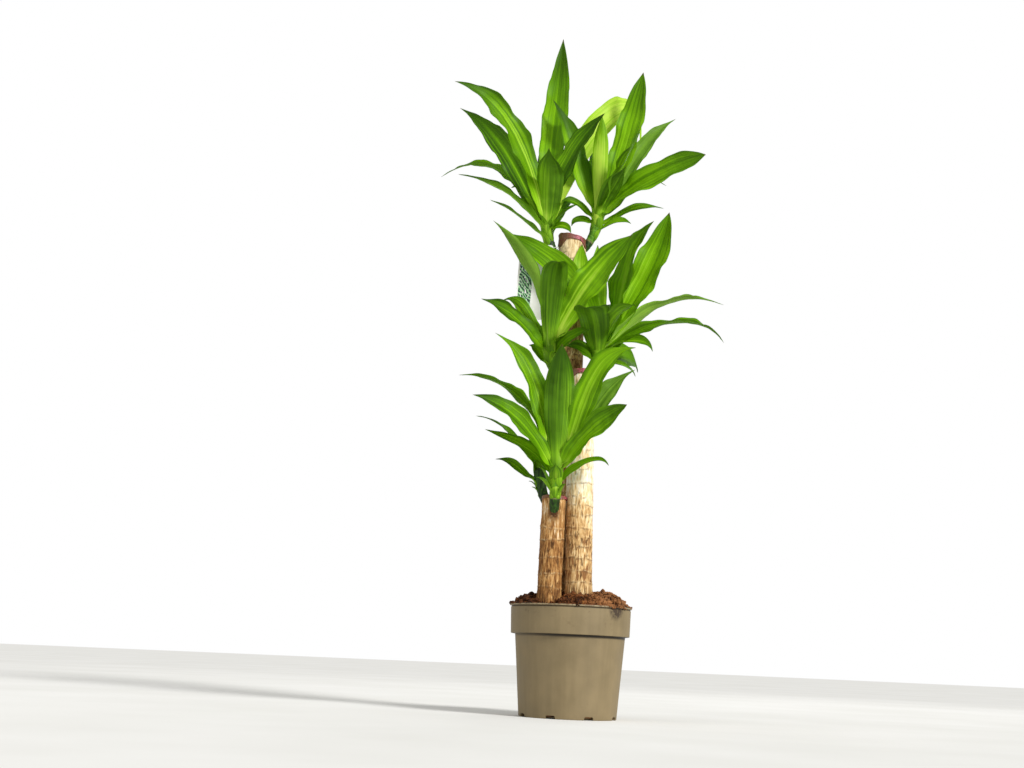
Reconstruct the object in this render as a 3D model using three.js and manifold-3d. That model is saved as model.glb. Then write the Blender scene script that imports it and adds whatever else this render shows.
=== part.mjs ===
// A potted corn plant: three bare canes of different heights stand in a tapered nursery pot.
// Six leafy shoots grow from the canes' upper ends. Millimetres, +Z up, the pot's axis is Z and
// the pot stands on Z = 0. The front of the plant faces -Y and its right side faces +X.
import * as THREE from "three";
import { mergeVertices } from "three/addons/utils/BufferGeometryUtils.js";
import Module from "manifold-3d";

const wasm = await Module();
wasm.setup();

// ---- driving dimensions, mm ----
const GAP = 0.3;                // clearance between two pieces that touch
const POT = {
  height: 170, rimRadius: 95, bandHeight: 44.5, bandFootRadius: 92.3,
  neckRadius: 85.5, footRadius: 75.5, footBevel: 1.5, wall: 2, floor: 3,
  lip: 2.5, lipReach: 1, lipBevel: 0.7,
};
const DRAIN = { count: 8, width: 15, height: 5, depth: 14 };
const SOIL = {
  top: 169, mound: 19, fall: 4.5, rough: 3.4, rings: 7,
  dip: { x: -38, y: -68, depth: 16, width: 30, length: 38 },
};
const ROUND = 40;               // sides of the pot and of the soil in it
const CANE_SIDES = 14;
const CANE_FOOT_Z = 70;         // how far down in the soil the canes reach
const SCAR = { first: 8, step: 30, drift: 5, height: 0.8, length: 4, clear: 24 };
const CANES = {
  tall: { foot: [-8, 22], top: [-18, 22, 775], radius: 21.5 },
  medium: { foot: [12, -22], top: [2.5, -22, 540], radius: 20.5 },
  short: { foot: [-38.5, -32], top: [-33.5, -32, 336], radius: 18.2 },
};
const WAX = { thickness: 1.2, skirt: 6, drip: 5 };
const BLADE = {
  thickness: 0.9, edge: 0.7, fold: 0.3, bow: 0.36,
  rootShare: 0.3, broadest: 0.46, taper: 2.5, tipShare: 0.03,
};
const BLADE_STEPS = { length: 25, fewest: 4, most: 10 };
const WAVE = { length: 75, share: 0.1, lag: 2.1 };
const STEM = {
  sides: 9, steps: 6, footRadius: 6.6, crownRadius: 10.3, topShare: 0.5,
  bend: 0.45, above: 5, rootOffset: 4.5,
};
const TAG = {
  centre: [-79, 3, 693], tilt: 2.7, width: 54, height: 127, thickness: 1, corner: 4,
  hole: { x: 15.5, drop: 12, radius: 2.5 },
};
const TIE = { centre: [-52, 11, 748.2], lean: 25, radius: 13.2, thickness: 1.2, sides: 6, steps: 28 };

// Each shoot leaves a cane at its foot and carries its leaves round its crown. A leaf's tip is
// measured from the crown as [right, back, up], and its root is `low` mm down the stem. `leave`
// and `arrive` are the midrib's slopes in degrees at root and tip, and `arch` lengthens its bow.
// `roll` turns the blade about its midrib and `twist` adds to that turn from root to tip.
// `broadest` is how far along the blade is broadest.
const SHOOTS = {
  top_left: {
    foot: [-36, 15, 726], crown: [-61, 15, 794],
    leaves: [
      { tip: [18, 85, 370], low: 0, leave: 98, arrive: 86, width: 46, roll: 0, broadest: 0.5 },
      { tip: [-160, -100, 203], low: 5, leave: 75, arrive: -5, width: 46, roll: -85 },
      { tip: [-159, 95, 237], low: 5, leave: 61, arrive: 33, width: 44, roll: -55 },
      { tip: [-188, 130, 120], low: 8, leave: 70, arrive: -25, width: 30, roll: -35, arch: 1.1 },
      { tip: [-148, -80, 53], low: 15, leave: 52, arrive: -5, width: 21, roll: 0 },
      { tip: [-95, -60, 19], low: 30, leave: 33, arrive: 7, width: 22, roll: -20 },
      { tip: [-63, 110, 99], low: 10, leave: 58, arrive: -1, width: 30, roll: 20 },
      { tip: [-3, -75, 106], low: 5, leave: 84, arrive: 30, width: 50, roll: -20 },
      { tip: [88, -32, 187], low: 5, leave: 88, arrive: 43, width: 42, roll: 75, broadest: 0.5 },
      { tip: [50, 70, 72], low: 25, leave: 73, arrive: 28, width: 20, roll: 20 },
      { tip: [48, -40, 25], low: 22, leave: 83, arrive: 10, width: 18, roll: 40 },
      { tip: [40, -23, -20], low: 16, leave: 68, arrive: -68, width: 17, roll: 50, arch: 1.3 },
      { tip: [5, 150, 190], low: 3, leave: 72, arrive: 12, width: 44, roll: 0 },
      { tip: [160, 105, 178], low: 3, leave: 79, arrive: -94, width: 46, roll: 70, arch: 1.86 },
    ],
  },
  top_right: {
    foot: [2, 25, 758], crown: [24, 25, 818],
    leaves: [
      { tip: [72, 30, 270], low: 0, leave: 69, arrive: 80, width: 48, roll: 45, broadest: 0.58 },
      { tip: [136, 85, 210], low: 5, leave: 59, arrive: 35, width: 32, roll: 50 },
      {
        tip: [169, -65, 90], low: 10, leave: 63, arrive: 12, width: 48,
        roll: 50, twist: 40, arch: 0.7, broadest: 0.55,
      },
      { tip: [124, 95, 89], low: 10, leave: 41, arrive: -18, width: 23, roll: 20 },
      { tip: [112, 20, 23], low: 25, leave: 41, arrive: -11, width: 20, roll: 45 },
      { tip: [54, -20, -19], low: 35, leave: 45, arrive: -39, width: 18, roll: 45 },
      { tip: [59, -80, 124], low: 5, leave: 62, arrive: 61, width: 51, roll: 55, broadest: 0.5 },
      { tip: [38, -75, 61], low: 8, leave: 62, arrive: 38, width: 34, roll: 0 },
      { tip: [0, -25, 165], low: 5, leave: 80, arrive: 88, width: 28, roll: 0, broadest: 0.6 },
      { tip: [-83, 6, 204], low: 0, leave: 66, arrive: 58, width: 40, roll: -60 },
      { tip: [-63, -8, 18], low: 15, leave: 59, arrive: -34, width: 20, roll: -60 },
      { tip: [-44, -5, -23], low: 22, leave: 72, arrive: -80, width: 17, roll: -50, arch: 1.2 },
      { tip: [-41, 90, 161], low: 0, leave: 55, arrive: 56, width: 37, roll: 15 },
      { tip: [10, 140, 150], low: 3, leave: 72, arrive: 0, width: 42, roll: 0 },
    ],
  },
  middle_left: {
    foot: [-12, -27, 508], crown: [-51, -34, 575],
    leaves: [
      { tip: [-97, -75, 183], low: 5, leave: 90, arrive: 23, width: 26, roll: -45, twist: 105 },
      { tip: [6, -110, 110], low: 0, leave: 88, arrive: -20, width: 44, roll: 0, broadest: 0.6 },
      { tip: [125, -26, 184], low: 0, leave: 67, arrive: 47, width: 56, roll: 75, broadest: 0.58 },
      { tip: [-110, -75, 56], low: 15, leave: 45, arrive: 4, width: 33, roll: -70 },
      { tip: [-82, 30, 79], low: 15, leave: 57, arrive: -28, width: 28, roll: -40 },
      { tip: [-32, 20, 7], low: 30, leave: 41, arrive: 7, width: 20, roll: -55 },
      { tip: [-14, -10, -23], low: 35, leave: 23, arrive: -3, width: 7, roll: 0 },
      { tip: [62, -50, 21], low: 25, leave: 84, arrive: 10, width: 36, roll: 60 },
      { tip: [-15, 110, 60], low: 8, leave: 58, arrive: 5, width: 24, roll: 0 },
    ],
  },
  middle_right: {
    foot: [18, -20, 512], crown: [28, -20, 574],
    leaves: [
      { tip: [-163, 12, 198], low: 0, leave: 90, arrive: 23, width: 44, roll: -75 },
      { tip: [-30, 20, 185], low: 0, leave: 76, arrive: 97, width: 36, roll: -56, broadest: 0.6 },
      { tip: [-3, 45, 192], low: 0, leave: 85, arrive: 90, width: 32, roll: 0, broadest: 0.55 },
      { tip: [116, 55, 257], low: 0, leave: 60, arrive: 77, width: 57, roll: 40, broadest: 0.58 },
      { tip: [84, -10, 220], low: 3, leave: 59, arrive: 45, width: 54, roll: 40, broadest: 0.6 },
      { tip: [210, 55, 101], low: 10, leave: 58, arrive: -17, width: 34, roll: -80, twist: 118 },
      { tip: [191, -75, 6], low: 15, leave: 52, arrive: -60, width: 34, roll: 75, twist: -85 },
      { tip: [82, -60, -9], low: 18, leave: 82, arrive: -75, width: 24, roll: 40 },
      { tip: [70, 55, -20], low: 20, leave: 85, arrive: -84, width: 44, roll: 60 },
      { tip: [61, -5, -39], low: 30, leave: 82, arrive: -81, width: 20, roll: 20 },
      { tip: [48, -115, 50], low: 8, leave: 87, arrive: -18, width: 42, roll: 10 },
      { tip: [-29, -130, 39], low: 12, leave: 72, arrive: -20, width: 56, roll: 0, broadest: 0.6 },
      { tip: [-52, -25, 2], low: 25, leave: 94, arrive: -14, width: 30, roll: -55 },
      { tip: [20, 130, 110], low: 5, leave: 65, arrive: 5, width: 40, roll: 0 },
    ],
  },
  short_front: {
    foot: [-34, -38, 302], crown: [-33, -62, 375],
    leaves: [
      { tip: [-104, -10, 211], low: 0, leave: 74, arrive: 26, width: 38, roll: -70 },
      { tip: [-161, 55, 154], low: 5, leave: 85, arrive: -5, width: 30, roll: -25 },
      { tip: [-133, -80, 98], low: 8, leave: 61, arrive: 0, width: 36, roll: -75 },
      { tip: [-113, -20, 56], low: 20, leave: 74, arrive: 16, width: 26, roll: -55 },
      { tip: [0, -50, 189], low: 0, leave: 84, arrive: 60, width: 50, roll: 0, broadest: 0.55 },
      { tip: [114, -50, 188], low: 3, leave: 62, arrive: -2, width: 46, roll: 85 },
      { tip: [119, 10, 166], low: 3, leave: 56, arrive: 29, width: 38, roll: 70 },
      { tip: [100, -80, 93], low: 12, leave: 66, arrive: 26, width: 43, roll: 80, broadest: 0.64 },
      { tip: [80, -15, 8], low: 35, leave: 93, arrive: -63, width: 18, roll: 45 },
      { tip: [-2, -28, 7], low: 30, leave: 88, arrive: 60, width: 22, roll: 0 },
      { tip: [-30, -12, 3], low: 35, leave: 52, arrive: 5, width: 9, roll: 0 },
      { tip: [-31, -20, -15], low: 45, leave: 50, arrive: -10, width: 9, roll: 0 },
      { tip: [15, -16, -23], low: 48, leave: 31, arrive: -10, width: 7, roll: 0 },
    ],
  },
  short_back: {
    foot: [-45, -21, 328], crown: [-57, -4, 382],
    leaves: [
      { tip: [-107, 50, 91], low: 0, leave: 51, arrive: 6, width: 19, roll: -10 },
      { tip: [-72, 20, 17], low: 25, leave: 31, arrive: -4, width: 18, roll: -40 },
      { tip: [-17, 5, -18], low: 30, leave: 20, arrive: -7, width: 7, roll: 0 },
      { tip: [-12, -5, -28], low: 42, leave: 40, arrive: 10, width: 7, roll: 0 },
      { tip: [-30, 75, 88], low: 0, leave: 55, arrive: 27, width: 29, roll: 25 },
      { tip: [7, 30, 70], low: 0, leave: 80, arrive: 50, width: 24, roll: 0 },
    ],
  },
};

// ---- helpers ----
const radians = THREE.MathUtils.degToRad;
const mix = THREE.MathUtils.lerp;

/** A repeatable number from 0 to 1 for a seed. */
function chance(seed) {
  const wave = Math.sin(seed * 127.1 + 311.7) * 43758.5453;
  return wave - Math.floor(wave);
}

/** The closed solid of a geometry. */
function solidOf(geometry) {
  const bare = geometry.clone();
  bare.deleteAttribute("normal");
  bare.deleteAttribute("uv");
  const merged = mergeVertices(bare, 1e-4);
  const kept = [];
  const index = merged.index.array;
  for (let i = 0; i < index.length; i += 3) {
    const [a, b, c] = [index[i], index[i + 1], index[i + 2]];
    if (a !== b && b !== c && c !== a) {
      kept.push(a, b, c);
    }
  }
  return new wasm.Manifold(new wasm.Mesh({
    numProp: 3,
    vertProperties: new Float32Array(merged.attributes.position.array),
    triVerts: new Uint32Array(kept),
  }));
}

/** A solid's largest body, without loose scraps or hollows that a join has sealed. */
function largestBody(solid) {
  return solid.decompose().reduce((best, body) => (body.volume() > best.volume() ? body : best));
}

/** The geometry of a solid. */
function geometryOf(solid) {
  const mesh = solid.getMesh();
  const geometry = new THREE.BufferGeometry();
  geometry.setAttribute("position", new THREE.BufferAttribute(mesh.vertProperties, 3));
  geometry.setIndex(new THREE.BufferAttribute(mesh.triVerts, 1));
  geometry.computeVertexNormals();
  return geometry;
}

/** A closed body through rings of as many points each, with flat ends. */
function skinOf(rings) {
  const count = rings[0].length;
  const positions = rings.flat().flatMap((point) => point.toArray());
  const index = [];
  for (let ring = 0; ring + 1 < rings.length; ring += 1) {
    const onward = (ring + 1) * count;
    for (let side = 0; side < count; side += 1) {
      const next = (side + 1) % count;
      const [a, b] = [ring * count + side, ring * count + next];
      index.push(a, b, onward + next, a, onward + next, onward + side);
    }
  }
  const last = (rings.length - 1) * count;
  for (let side = 1; side + 1 < count; side += 1) {
    index.push(0, side + 1, side);
    index.push(last, last + side, last + side + 1);
  }
  const geometry = new THREE.BufferGeometry();
  geometry.setAttribute("position", new THREE.Float32BufferAttribute(positions, 3));
  geometry.setIndex(index);
  return geometry;
}

/** A mesh of its own name and material. */
function piece(name, geometry, color, roughness) {
  const material = new THREE.MeshStandardMaterial({ color, roughness, metalness: 0 });
  const mesh = new THREE.Mesh(geometry, material);
  mesh.name = name;
  return mesh;
}

/** A lathe's geometry about +Z from [radius, height] pairs. */
function lathe(profile, sides) {
  const points = profile.map(([radius, height]) => new THREE.Vector2(radius, height));
  return new THREE.LatheGeometry(points, sides).rotateX(Math.PI / 2);
}

// ---- pot ----
function potGeometry() {
  const { height, rimRadius, bandHeight, bandFootRadius, neckRadius, footRadius } = POT;
  const { wall, floor, footBevel, lip, lipReach, lipBevel } = POT;
  const bandFoot = height - bandHeight;
  const body = lathe([
    [0, 0],
    [footRadius - footBevel, 0],
    [footRadius, footBevel],
    [neckRadius, bandFoot - 1],
    [bandFootRadius, bandFoot],
    [rimRadius - lipReach, height - lip],
    [rimRadius, height - lip + lipBevel],
    [rimRadius, height - lipBevel],
    [rimRadius - lipBevel, height],
    [rimRadius - lipReach - wall, height],
    [bandFootRadius - wall, bandFoot + wall],
    [neckRadius - wall, bandFoot - 1],
    [footRadius - wall, floor],
    [0, floor],
  ], ROUND);
  let solid = solidOf(body);
  for (let slot = 0; slot < DRAIN.count; slot += 1) {
    const cutter = new THREE.BoxGeometry(DRAIN.depth, DRAIN.width, DRAIN.height);
    cutter.translate(footRadius, 0, DRAIN.height / 2 - 0.01);
    cutter.rotateZ((slot + 0.5) * 2 * Math.PI / DRAIN.count);
    solid = solid.subtract(solidOf(cutter));
  }
  return geometryOf(solid);
}

// ---- canes ----
/** The place on a cane's axis at a height. */
function caneCentre(cane, z) {
  const share = (z - CANE_FOOT_Z) / (cane.top[2] - CANE_FOOT_Z);
  return new THREE.Vector3(
    mix(cane.foot[0], cane.top[0], share),
    mix(cane.foot[1], cane.top[1], share),
    z,
  );
}

/** The matrix that stands a lathe on a cane's foot and leans it along the cane. */
function caneMatrix(cane) {
  const foot = caneCentre(cane, CANE_FOOT_Z);
  const axis = caneCentre(cane, cane.top[2]).sub(foot).normalize();
  const turn = new THREE.Quaternion().setFromUnitVectors(new THREE.Vector3(0, 0, 1), axis);
  return new THREE.Matrix4().compose(foot, turn, new THREE.Vector3(1, 1, 1));
}

function caneLength(cane) {
  return caneCentre(cane, cane.top[2]).distanceTo(caneCentre(cane, CANE_FOOT_Z));
}

/** A bare cane with the raised scars of its fallen leaves, `extra` mm larger all round. */
function caneGeometry(cane, extra = 0) {
  const length = caneLength(cane) + extra;
  const radius = cane.radius + extra;
  const bare = SOIL.top + SOIL.mound - CANE_FOOT_Z;
  const profile = [[0, -extra], [radius, -extra]];
  const count = Math.floor((length - bare - SCAR.clear) / SCAR.step);
  for (let scar = 0; scar < count; scar += 1) {
    const shift = SCAR.drift * (chance(cane.radius * 10 + scar) - 0.5);
    const middle = bare + SCAR.first + scar * SCAR.step + shift;
    profile.push([radius, middle - SCAR.length]);
    profile.push([radius + SCAR.height, middle]);
  }
  profile.push([radius, length], [0, length]);
  return lathe(profile, CANE_SIDES).applyMatrix4(caneMatrix(cane));
}

/** The wax on a cane's cut top, whose skirt runs down unevenly, `extra` mm larger all round. */
function waxGeometry(cane, extra = 0) {
  const length = caneLength(cane);
  const inner = cane.radius + GAP;
  const outer = inner + WAX.thickness + extra;
  const skirtFoot = length - WAX.skirt - extra;
  const top = length + GAP + WAX.thickness + extra;
  const cap = lathe([
    [0, length + GAP - extra],
    [inner - extra, length + GAP - extra],
    [inner - extra, skirtFoot],
    [outer, skirtFoot],
    [outer, top - WAX.thickness / 2],
    [outer - WAX.thickness, top],
    [0, top],
  ], CANE_SIDES);
  const position = cap.attributes.position;
  for (let i = 0; i < position.count; i += 1) {
    if (position.getZ(i) < length - WAX.skirt / 2) {
      const angle = Math.atan2(position.getY(i), position.getX(i));
      const run = Math.sin(2 * angle + cane.radius) + 0.6 * Math.sin(5 * angle);
      position.setZ(i, skirtFoot - WAX.drip * Math.max(0, run));
    }
  }
  return cap.applyMatrix4(caneMatrix(cane));
}

// ---- soil ----
/** The height of the mounded soil at a place. */
function soilHeight(x, y) {
  const reach = Math.hypot(x, y) / (POT.rimRadius - POT.wall);
  const mound = SOIL.mound * (1 - reach ** SOIL.fall);
  const ripples = Math.sin(x * 0.31 + 1.3) * Math.cos(y * 0.27 - 0.4);
  const swells = 0.8 * Math.sin(x * 0.13 - y * 0.17);
  const crumbs = 1.4 * (chance(x * 1.7 + y * 3.1) - 0.5);
  const [right, back] = [(x - SOIL.dip.x) / SOIL.dip.width, (y - SOIL.dip.y) / SOIL.dip.length];
  const dip = SOIL.dip.depth * Math.exp(-(right ** 2) - back ** 2);
  return SOIL.top + mound - dip + SOIL.rough / 2 * (ripples + swells + crumbs);
}

/** The soil fills the pot and rises in a rough mound, with a plain hole for each cane. */
function soilGeometry() {
  const { bandHeight, bandFootRadius, neckRadius, footRadius, height, wall, floor } = POT;
  const rimInner = POT.rimRadius - 1 - wall - GAP;
  const bandFoot = height - bandHeight;
  const slope = (rimInner - (bandFootRadius - wall - GAP)) / (bandHeight - wall);
  const edge = rimInner - slope * (height - SOIL.top);
  const walls = [
    [footRadius - wall - GAP * 1.2, floor + GAP],
    [neckRadius - wall - GAP, bandFoot - 1],
    [bandFootRadius - wall - GAP * 1.2, bandFoot + wall],
    [edge, SOIL.top - SOIL.rough],
  ];
  const circle = (radius, heightAt) => Array.from({ length: ROUND }, (_, side) => {
    const angle = side * 2 * Math.PI / ROUND;
    const [x, y] = [radius * Math.cos(angle), radius * Math.sin(angle)];
    return new THREE.Vector3(x, y, heightAt(x, y));
  });
  const rings = walls.map(([radius, z]) => circle(radius, () => z));
  for (let ring = 0; ring < SOIL.rings; ring += 1) {
    rings.push(circle(edge * (1 - ring / SOIL.rings) - 0.2, soilHeight));
  }
  let solid = solidOf(skinOf(rings));
  for (const cane of Object.values(CANES)) {
    solid = solid.subtract(solidOf(caneGeometry(cane, GAP)));
  }
  return geometryOf(solid);
}

// ---- shoots ----
/** The middle line of a shoot's stem, from its cane to just above its crown. */
function stemCurve(shoot) {
  const foot = new THREE.Vector3(...shoot.foot);
  const crown = new THREE.Vector3(...shoot.crown);
  const bend = new THREE.Vector3(crown.x, crown.y, mix(foot.z, crown.z, STEM.bend));
  const top = crown.clone().add(new THREE.Vector3(0, 0, STEM.above));
  return new THREE.QuadraticBezierCurve3(foot, bend, top);
}

/** A leaf's midrib in its own upright plane, from its root on the stem to its tip. */
function midribOf(shoot, leaf) {
  const stem = stemCurve(shoot);
  const tip = new THREE.Vector3(...shoot.crown).add(new THREE.Vector3(...leaf.tip));
  const root = stem.getPointAt(1 - (STEM.above + leaf.low) / stem.getLength());
  const heading = tip.clone().sub(root).setZ(0).normalize();
  root.addScaledVector(heading, STEM.rootOffset);
  const reach = tip.clone().sub(root);
  const slope = (degrees) => heading.clone().multiplyScalar(Math.cos(radians(degrees)))
    .add(new THREE.Vector3(0, 0, Math.sin(radians(degrees))));
  const handle = BLADE.bow * (leaf.arch ?? 1) * reach.length();
  const curve = new THREE.CubicBezierCurve3(
    root,
    root.clone().addScaledVector(slope(leaf.leave), handle),
    tip.clone().addScaledVector(slope(leaf.arrive), -handle),
    tip,
  );
  const side = new THREE.Vector3(-heading.y, heading.x, 0);
  return { curve, side, length: curve.getLength() };
}

/** A leaf's half width at a share of its length: narrow at the stem, broad, then pointed. */
function halfWidth(leaf, share) {
  const full = leaf.width / 2;
  const broadest = leaf.broadest ?? BLADE.broadest;
  if (share < broadest) {
    const swell = Math.sin(share / broadest * Math.PI / 2);
    return full * mix(BLADE.rootShare, 1, swell);
  }
  const left = (share - broadest) / (1 - broadest);
  return full * Math.max(BLADE.tipShare, 1 - left ** BLADE.taper);
}

/** A folded blade with waved edges along its midrib, closed all round. */
function leafGeometry(shoot, leaf) {
  const { curve, side, length } = midribOf(shoot, leaf);
  const steps = THREE.MathUtils.clamp(
    Math.round(length / BLADE_STEPS.length), BLADE_STEPS.fewest, BLADE_STEPS.most,
  );
  const waves = length / WAVE.length;
  const phase = 2 * Math.PI * chance(leaf.tip[0] * 0.37 + leaf.tip[2] * 0.71);
  const rings = [];
  for (let step = 0; step <= steps; step += 1) {
    const share = step / steps;
    const point = curve.getPoint(share);
    const along = curve.getTangent(share);
    const turn = radians(leaf.roll + (leaf.twist ?? 0) * share);
    const across = side.clone().addScaledVector(along, -side.dot(along)).normalize();
    across.applyAxisAngle(along, turn);
    const up = new THREE.Vector3().crossVectors(along, across).normalize();
    const half = halfWidth(leaf, share);
    const ripple = WAVE.share * leaf.width * Math.sin(Math.PI * share);
    const lift = (which) => BLADE.fold * half
      + ripple * Math.sin(2 * Math.PI * waves * share + phase + which);
    const at = (sideways, upwards) => point.clone()
      .addScaledVector(across, sideways).addScaledVector(up, upwards);
    const [left, right] = [lift(0), lift(WAVE.lag)];
    rings.push([
      at(half, left),
      at(0, 0),
      at(-half, right),
      at(-half, right - BLADE.edge),
      at(0, -BLADE.thickness),
      at(half, left - BLADE.edge),
    ]);
  }
  return bladeSkin(rings);
}

/** Joins six-point rings so that both faces of the blade split along the same diagonals. */
function bladeSkin(rings) {
  const positions = rings.flat().flatMap((point) => point.toArray());
  const index = [];
  const quad = (a, b, c, d) => index.push(a, b, c, a, c, d);
  for (let ring = 0; ring + 1 < rings.length; ring += 1) {
    const near = (corner) => ring * 6 + corner;
    const far = (corner) => near(corner) + 6;
    quad(near(0), near(1), far(1), far(0));
    quad(near(1), near(2), far(2), far(1));
    quad(near(2), near(3), far(3), far(2));
    index.push(near(4), far(4), far(3), near(4), far(3), near(3));
    index.push(near(5), far(5), far(4), near(5), far(4), near(4));
    quad(near(5), near(0), far(0), far(5));
  }
  const last = (rings.length - 1) * 6;
  const cap = [[0, 5, 4], [0, 4, 1], [1, 4, 3], [1, 3, 2]];
  for (const [a, b, c] of cap) {
    index.push(a, b, c);
    index.push(last + a, last + c, last + b);
  }
  const geometry = new THREE.BufferGeometry();
  geometry.setAttribute("position", new THREE.Float32BufferAttribute(positions, 3));
  geometry.setIndex(index);
  return geometry;
}

/** A shoot's green stem, which thickens to its crown. */
function stemGeometry(shoot) {
  const curve = stemCurve(shoot);
  const rings = [];
  for (let step = 0; step <= STEM.steps; step += 1) {
    const share = step / STEM.steps;
    const point = curve.getPoint(share);
    const along = curve.getTangent(share);
    const across = new THREE.Vector3(0, 1, 0).cross(along).normalize();
    const up = new THREE.Vector3().crossVectors(along, across);
    const shrink = step === STEM.steps ? STEM.topShare : 1;
    const radius = mix(STEM.footRadius, STEM.crownRadius, share) * shrink;
    rings.push(Array.from({ length: STEM.sides }, (_, side) => {
      const angle = side * 2 * Math.PI / STEM.sides;
      return point.clone().addScaledVector(across, radius * Math.cos(angle))
        .addScaledVector(up, radius * Math.sin(angle));
    }));
  }
  return skinOf(rings);
}

/** A leafy shoot in one piece, whose foot is shaped to the cane that it grows from. */
function shootGeometry(shoot) {
  let solid = solidOf(stemGeometry(shoot));
  for (const leaf of shoot.leaves) {
    solid = solid.add(solidOf(leafGeometry(shoot, leaf)));
  }
  for (const cane of Object.values(CANES)) {
    solid = solid.subtract(solidOf(caneGeometry(cane, GAP)));
    solid = solid.subtract(solidOf(waxGeometry(cane, GAP)));
  }
  return geometryOf(largestBody(solid));
}

// ---- care tag ----
/** The tag's frame: a thin card that hangs beside the tall cane, tilted a little. */
function tagMatrix() {
  const tilt = new THREE.Matrix4().makeRotationY(radians(TAG.tilt));
  return new THREE.Matrix4().makeTranslation(...TAG.centre).multiply(tilt);
}

/** A card with round corners and an eye for its tie near the upper edge. */
function tagGeometry() {
  const { width, height, corner, thickness, hole } = TAG;
  const [x, y] = [width / 2, height / 2];
  const outline = new THREE.Shape();
  outline.moveTo(corner - x, -y);
  outline.lineTo(x - corner, -y);
  outline.absarc(x - corner, corner - y, corner, -Math.PI / 2, 0);
  outline.lineTo(x, y - corner);
  outline.absarc(x - corner, y - corner, corner, 0, Math.PI / 2);
  outline.lineTo(corner - x, y);
  outline.absarc(corner - x, y - corner, corner, Math.PI / 2, Math.PI);
  outline.lineTo(-x, corner - y);
  outline.absarc(corner - x, corner - y, corner, Math.PI, 1.5 * Math.PI);
  const eye = new THREE.Path();
  eye.absarc(hole.x, y - hole.drop, hole.radius, 0, 2 * Math.PI, true);
  outline.holes.push(eye);
  const card = new THREE.ExtrudeGeometry(outline, {
    depth: thickness, bevelEnabled: false, curveSegments: 4,
  });
  card.rotateX(Math.PI / 2);
  return card.applyMatrix4(tagMatrix());
}

/** The elastic ring that ties the card to the upper left shoot, through the card's eye. */
function tieGeometry() {
  const ring = new THREE.TorusGeometry(TIE.radius, TIE.thickness / 2, TIE.sides, TIE.steps);
  ring.rotateY(radians(-TIE.lean));
  return ring.translate(...TIE.centre);
}

// ---- the whole plant ----
const plant = new THREE.Group();
plant.add(piece("pot", potGeometry(), "#8c7d5e", 0.75));
plant.add(piece("soil", soilGeometry(), "#5a3d26", 0.95));
for (const [name, cane] of Object.entries(CANES)) {
  plant.add(piece(`cane_${name}`, geometryOf(solidOf(caneGeometry(cane))), "#c39a63", 0.85));
  plant.add(piece(`wax_${name}`, geometryOf(solidOf(waxGeometry(cane))), "#7c2f38", 0.45));
}
for (const [name, shoot] of Object.entries(SHOOTS)) {
  plant.add(piece(`shoot_${name}`, shootGeometry(shoot), "#4f8f1c", 0.5));
}
plant.add(piece("care_tag", tagGeometry(), "#f2f2ee", 0.4));
plant.add(piece("tag_tie", tieGeometry(), "#d8d8d0", 0.6));

export default plant;
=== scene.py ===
"""A potted corn plant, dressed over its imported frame.

Three bare canes with wax on their cut tops stand in a tapered nursery pot, and leafy shoots grow
from their upper ends. Lengths are in millimetres until a piece is made, and then in metres. The
pot's axis is Z, the plant's front faces -Y and its right side faces +X.
"""
import logging
import math
from collections.abc import Iterator
from dataclasses import dataclass, field
from enum import Enum
from functools import partial, reduce

import bmesh
import bpy
import numpy as np
from mathutils import Euler, Matrix, Vector


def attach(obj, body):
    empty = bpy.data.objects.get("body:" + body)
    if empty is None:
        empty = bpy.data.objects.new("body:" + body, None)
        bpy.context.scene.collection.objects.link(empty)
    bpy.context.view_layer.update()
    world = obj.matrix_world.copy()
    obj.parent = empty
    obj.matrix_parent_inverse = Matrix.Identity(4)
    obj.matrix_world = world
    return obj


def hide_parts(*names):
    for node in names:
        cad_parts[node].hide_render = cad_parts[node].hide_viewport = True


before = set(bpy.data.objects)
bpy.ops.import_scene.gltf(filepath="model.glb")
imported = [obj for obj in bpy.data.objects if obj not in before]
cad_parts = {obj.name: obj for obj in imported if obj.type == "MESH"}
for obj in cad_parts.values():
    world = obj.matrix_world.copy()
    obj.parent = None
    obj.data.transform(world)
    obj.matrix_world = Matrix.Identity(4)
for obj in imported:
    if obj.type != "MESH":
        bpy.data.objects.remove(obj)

MM = 0.001
GAP = 0.3                       # clearance between two pieces that touch
TURN = 2 * math.pi              # a whole turn, in radians
Array = np.ndarray
Number = float | Array
Colour = tuple[float, float, float, float]
Point = tuple[float, float, float]
Face = tuple[int, ...]
Socket = bpy.types.NodeSocket
log = logging.getLogger("corn_plant")


# ---- numbers and noise ----
def mix(start: Number, end: Number, share: Number) -> Number:
    """The value a share of the way from one to another."""
    return start + (end - start) * share


def ease(low: float, high: float, value: Number) -> Array:
    """A smooth step from 0 at low to 1 at high."""
    share = np.clip((np.asarray(value, float) - low) / (high - low), 0, 1)
    return share * share * (3 - 2 * share)


def hump(middle: float, spread: float, value: Number) -> Array:
    """A bell of height 1 about a middle."""
    return np.exp(-((np.asarray(value, float) - middle) / spread) ** 2)


def unit(vectors: Array) -> Array:
    """The vectors, each with length 1."""
    return vectors / np.linalg.norm(vectors, axis=-1, keepdims=True)


def headings(line: Array) -> Array:
    """The direction of a line at each of its points."""
    return unit(np.gradient(line, axis=0))


def distances(line: Array) -> Array:
    """How far along a line each of its points lies."""
    return np.concatenate([[0], np.cumsum(np.linalg.norm(np.diff(line, axis=0), axis=1))])


def apart(angles: Array, degrees: float) -> Array:
    """How far angles lie from one that is given in degrees, by the shorter way round."""
    return np.angle(np.exp(1j * (angles - math.radians(degrees))))


def circle(sides: int) -> Array:
    """Angles evenly round a whole turn."""
    return np.arange(sides) * TURN / sides


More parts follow.
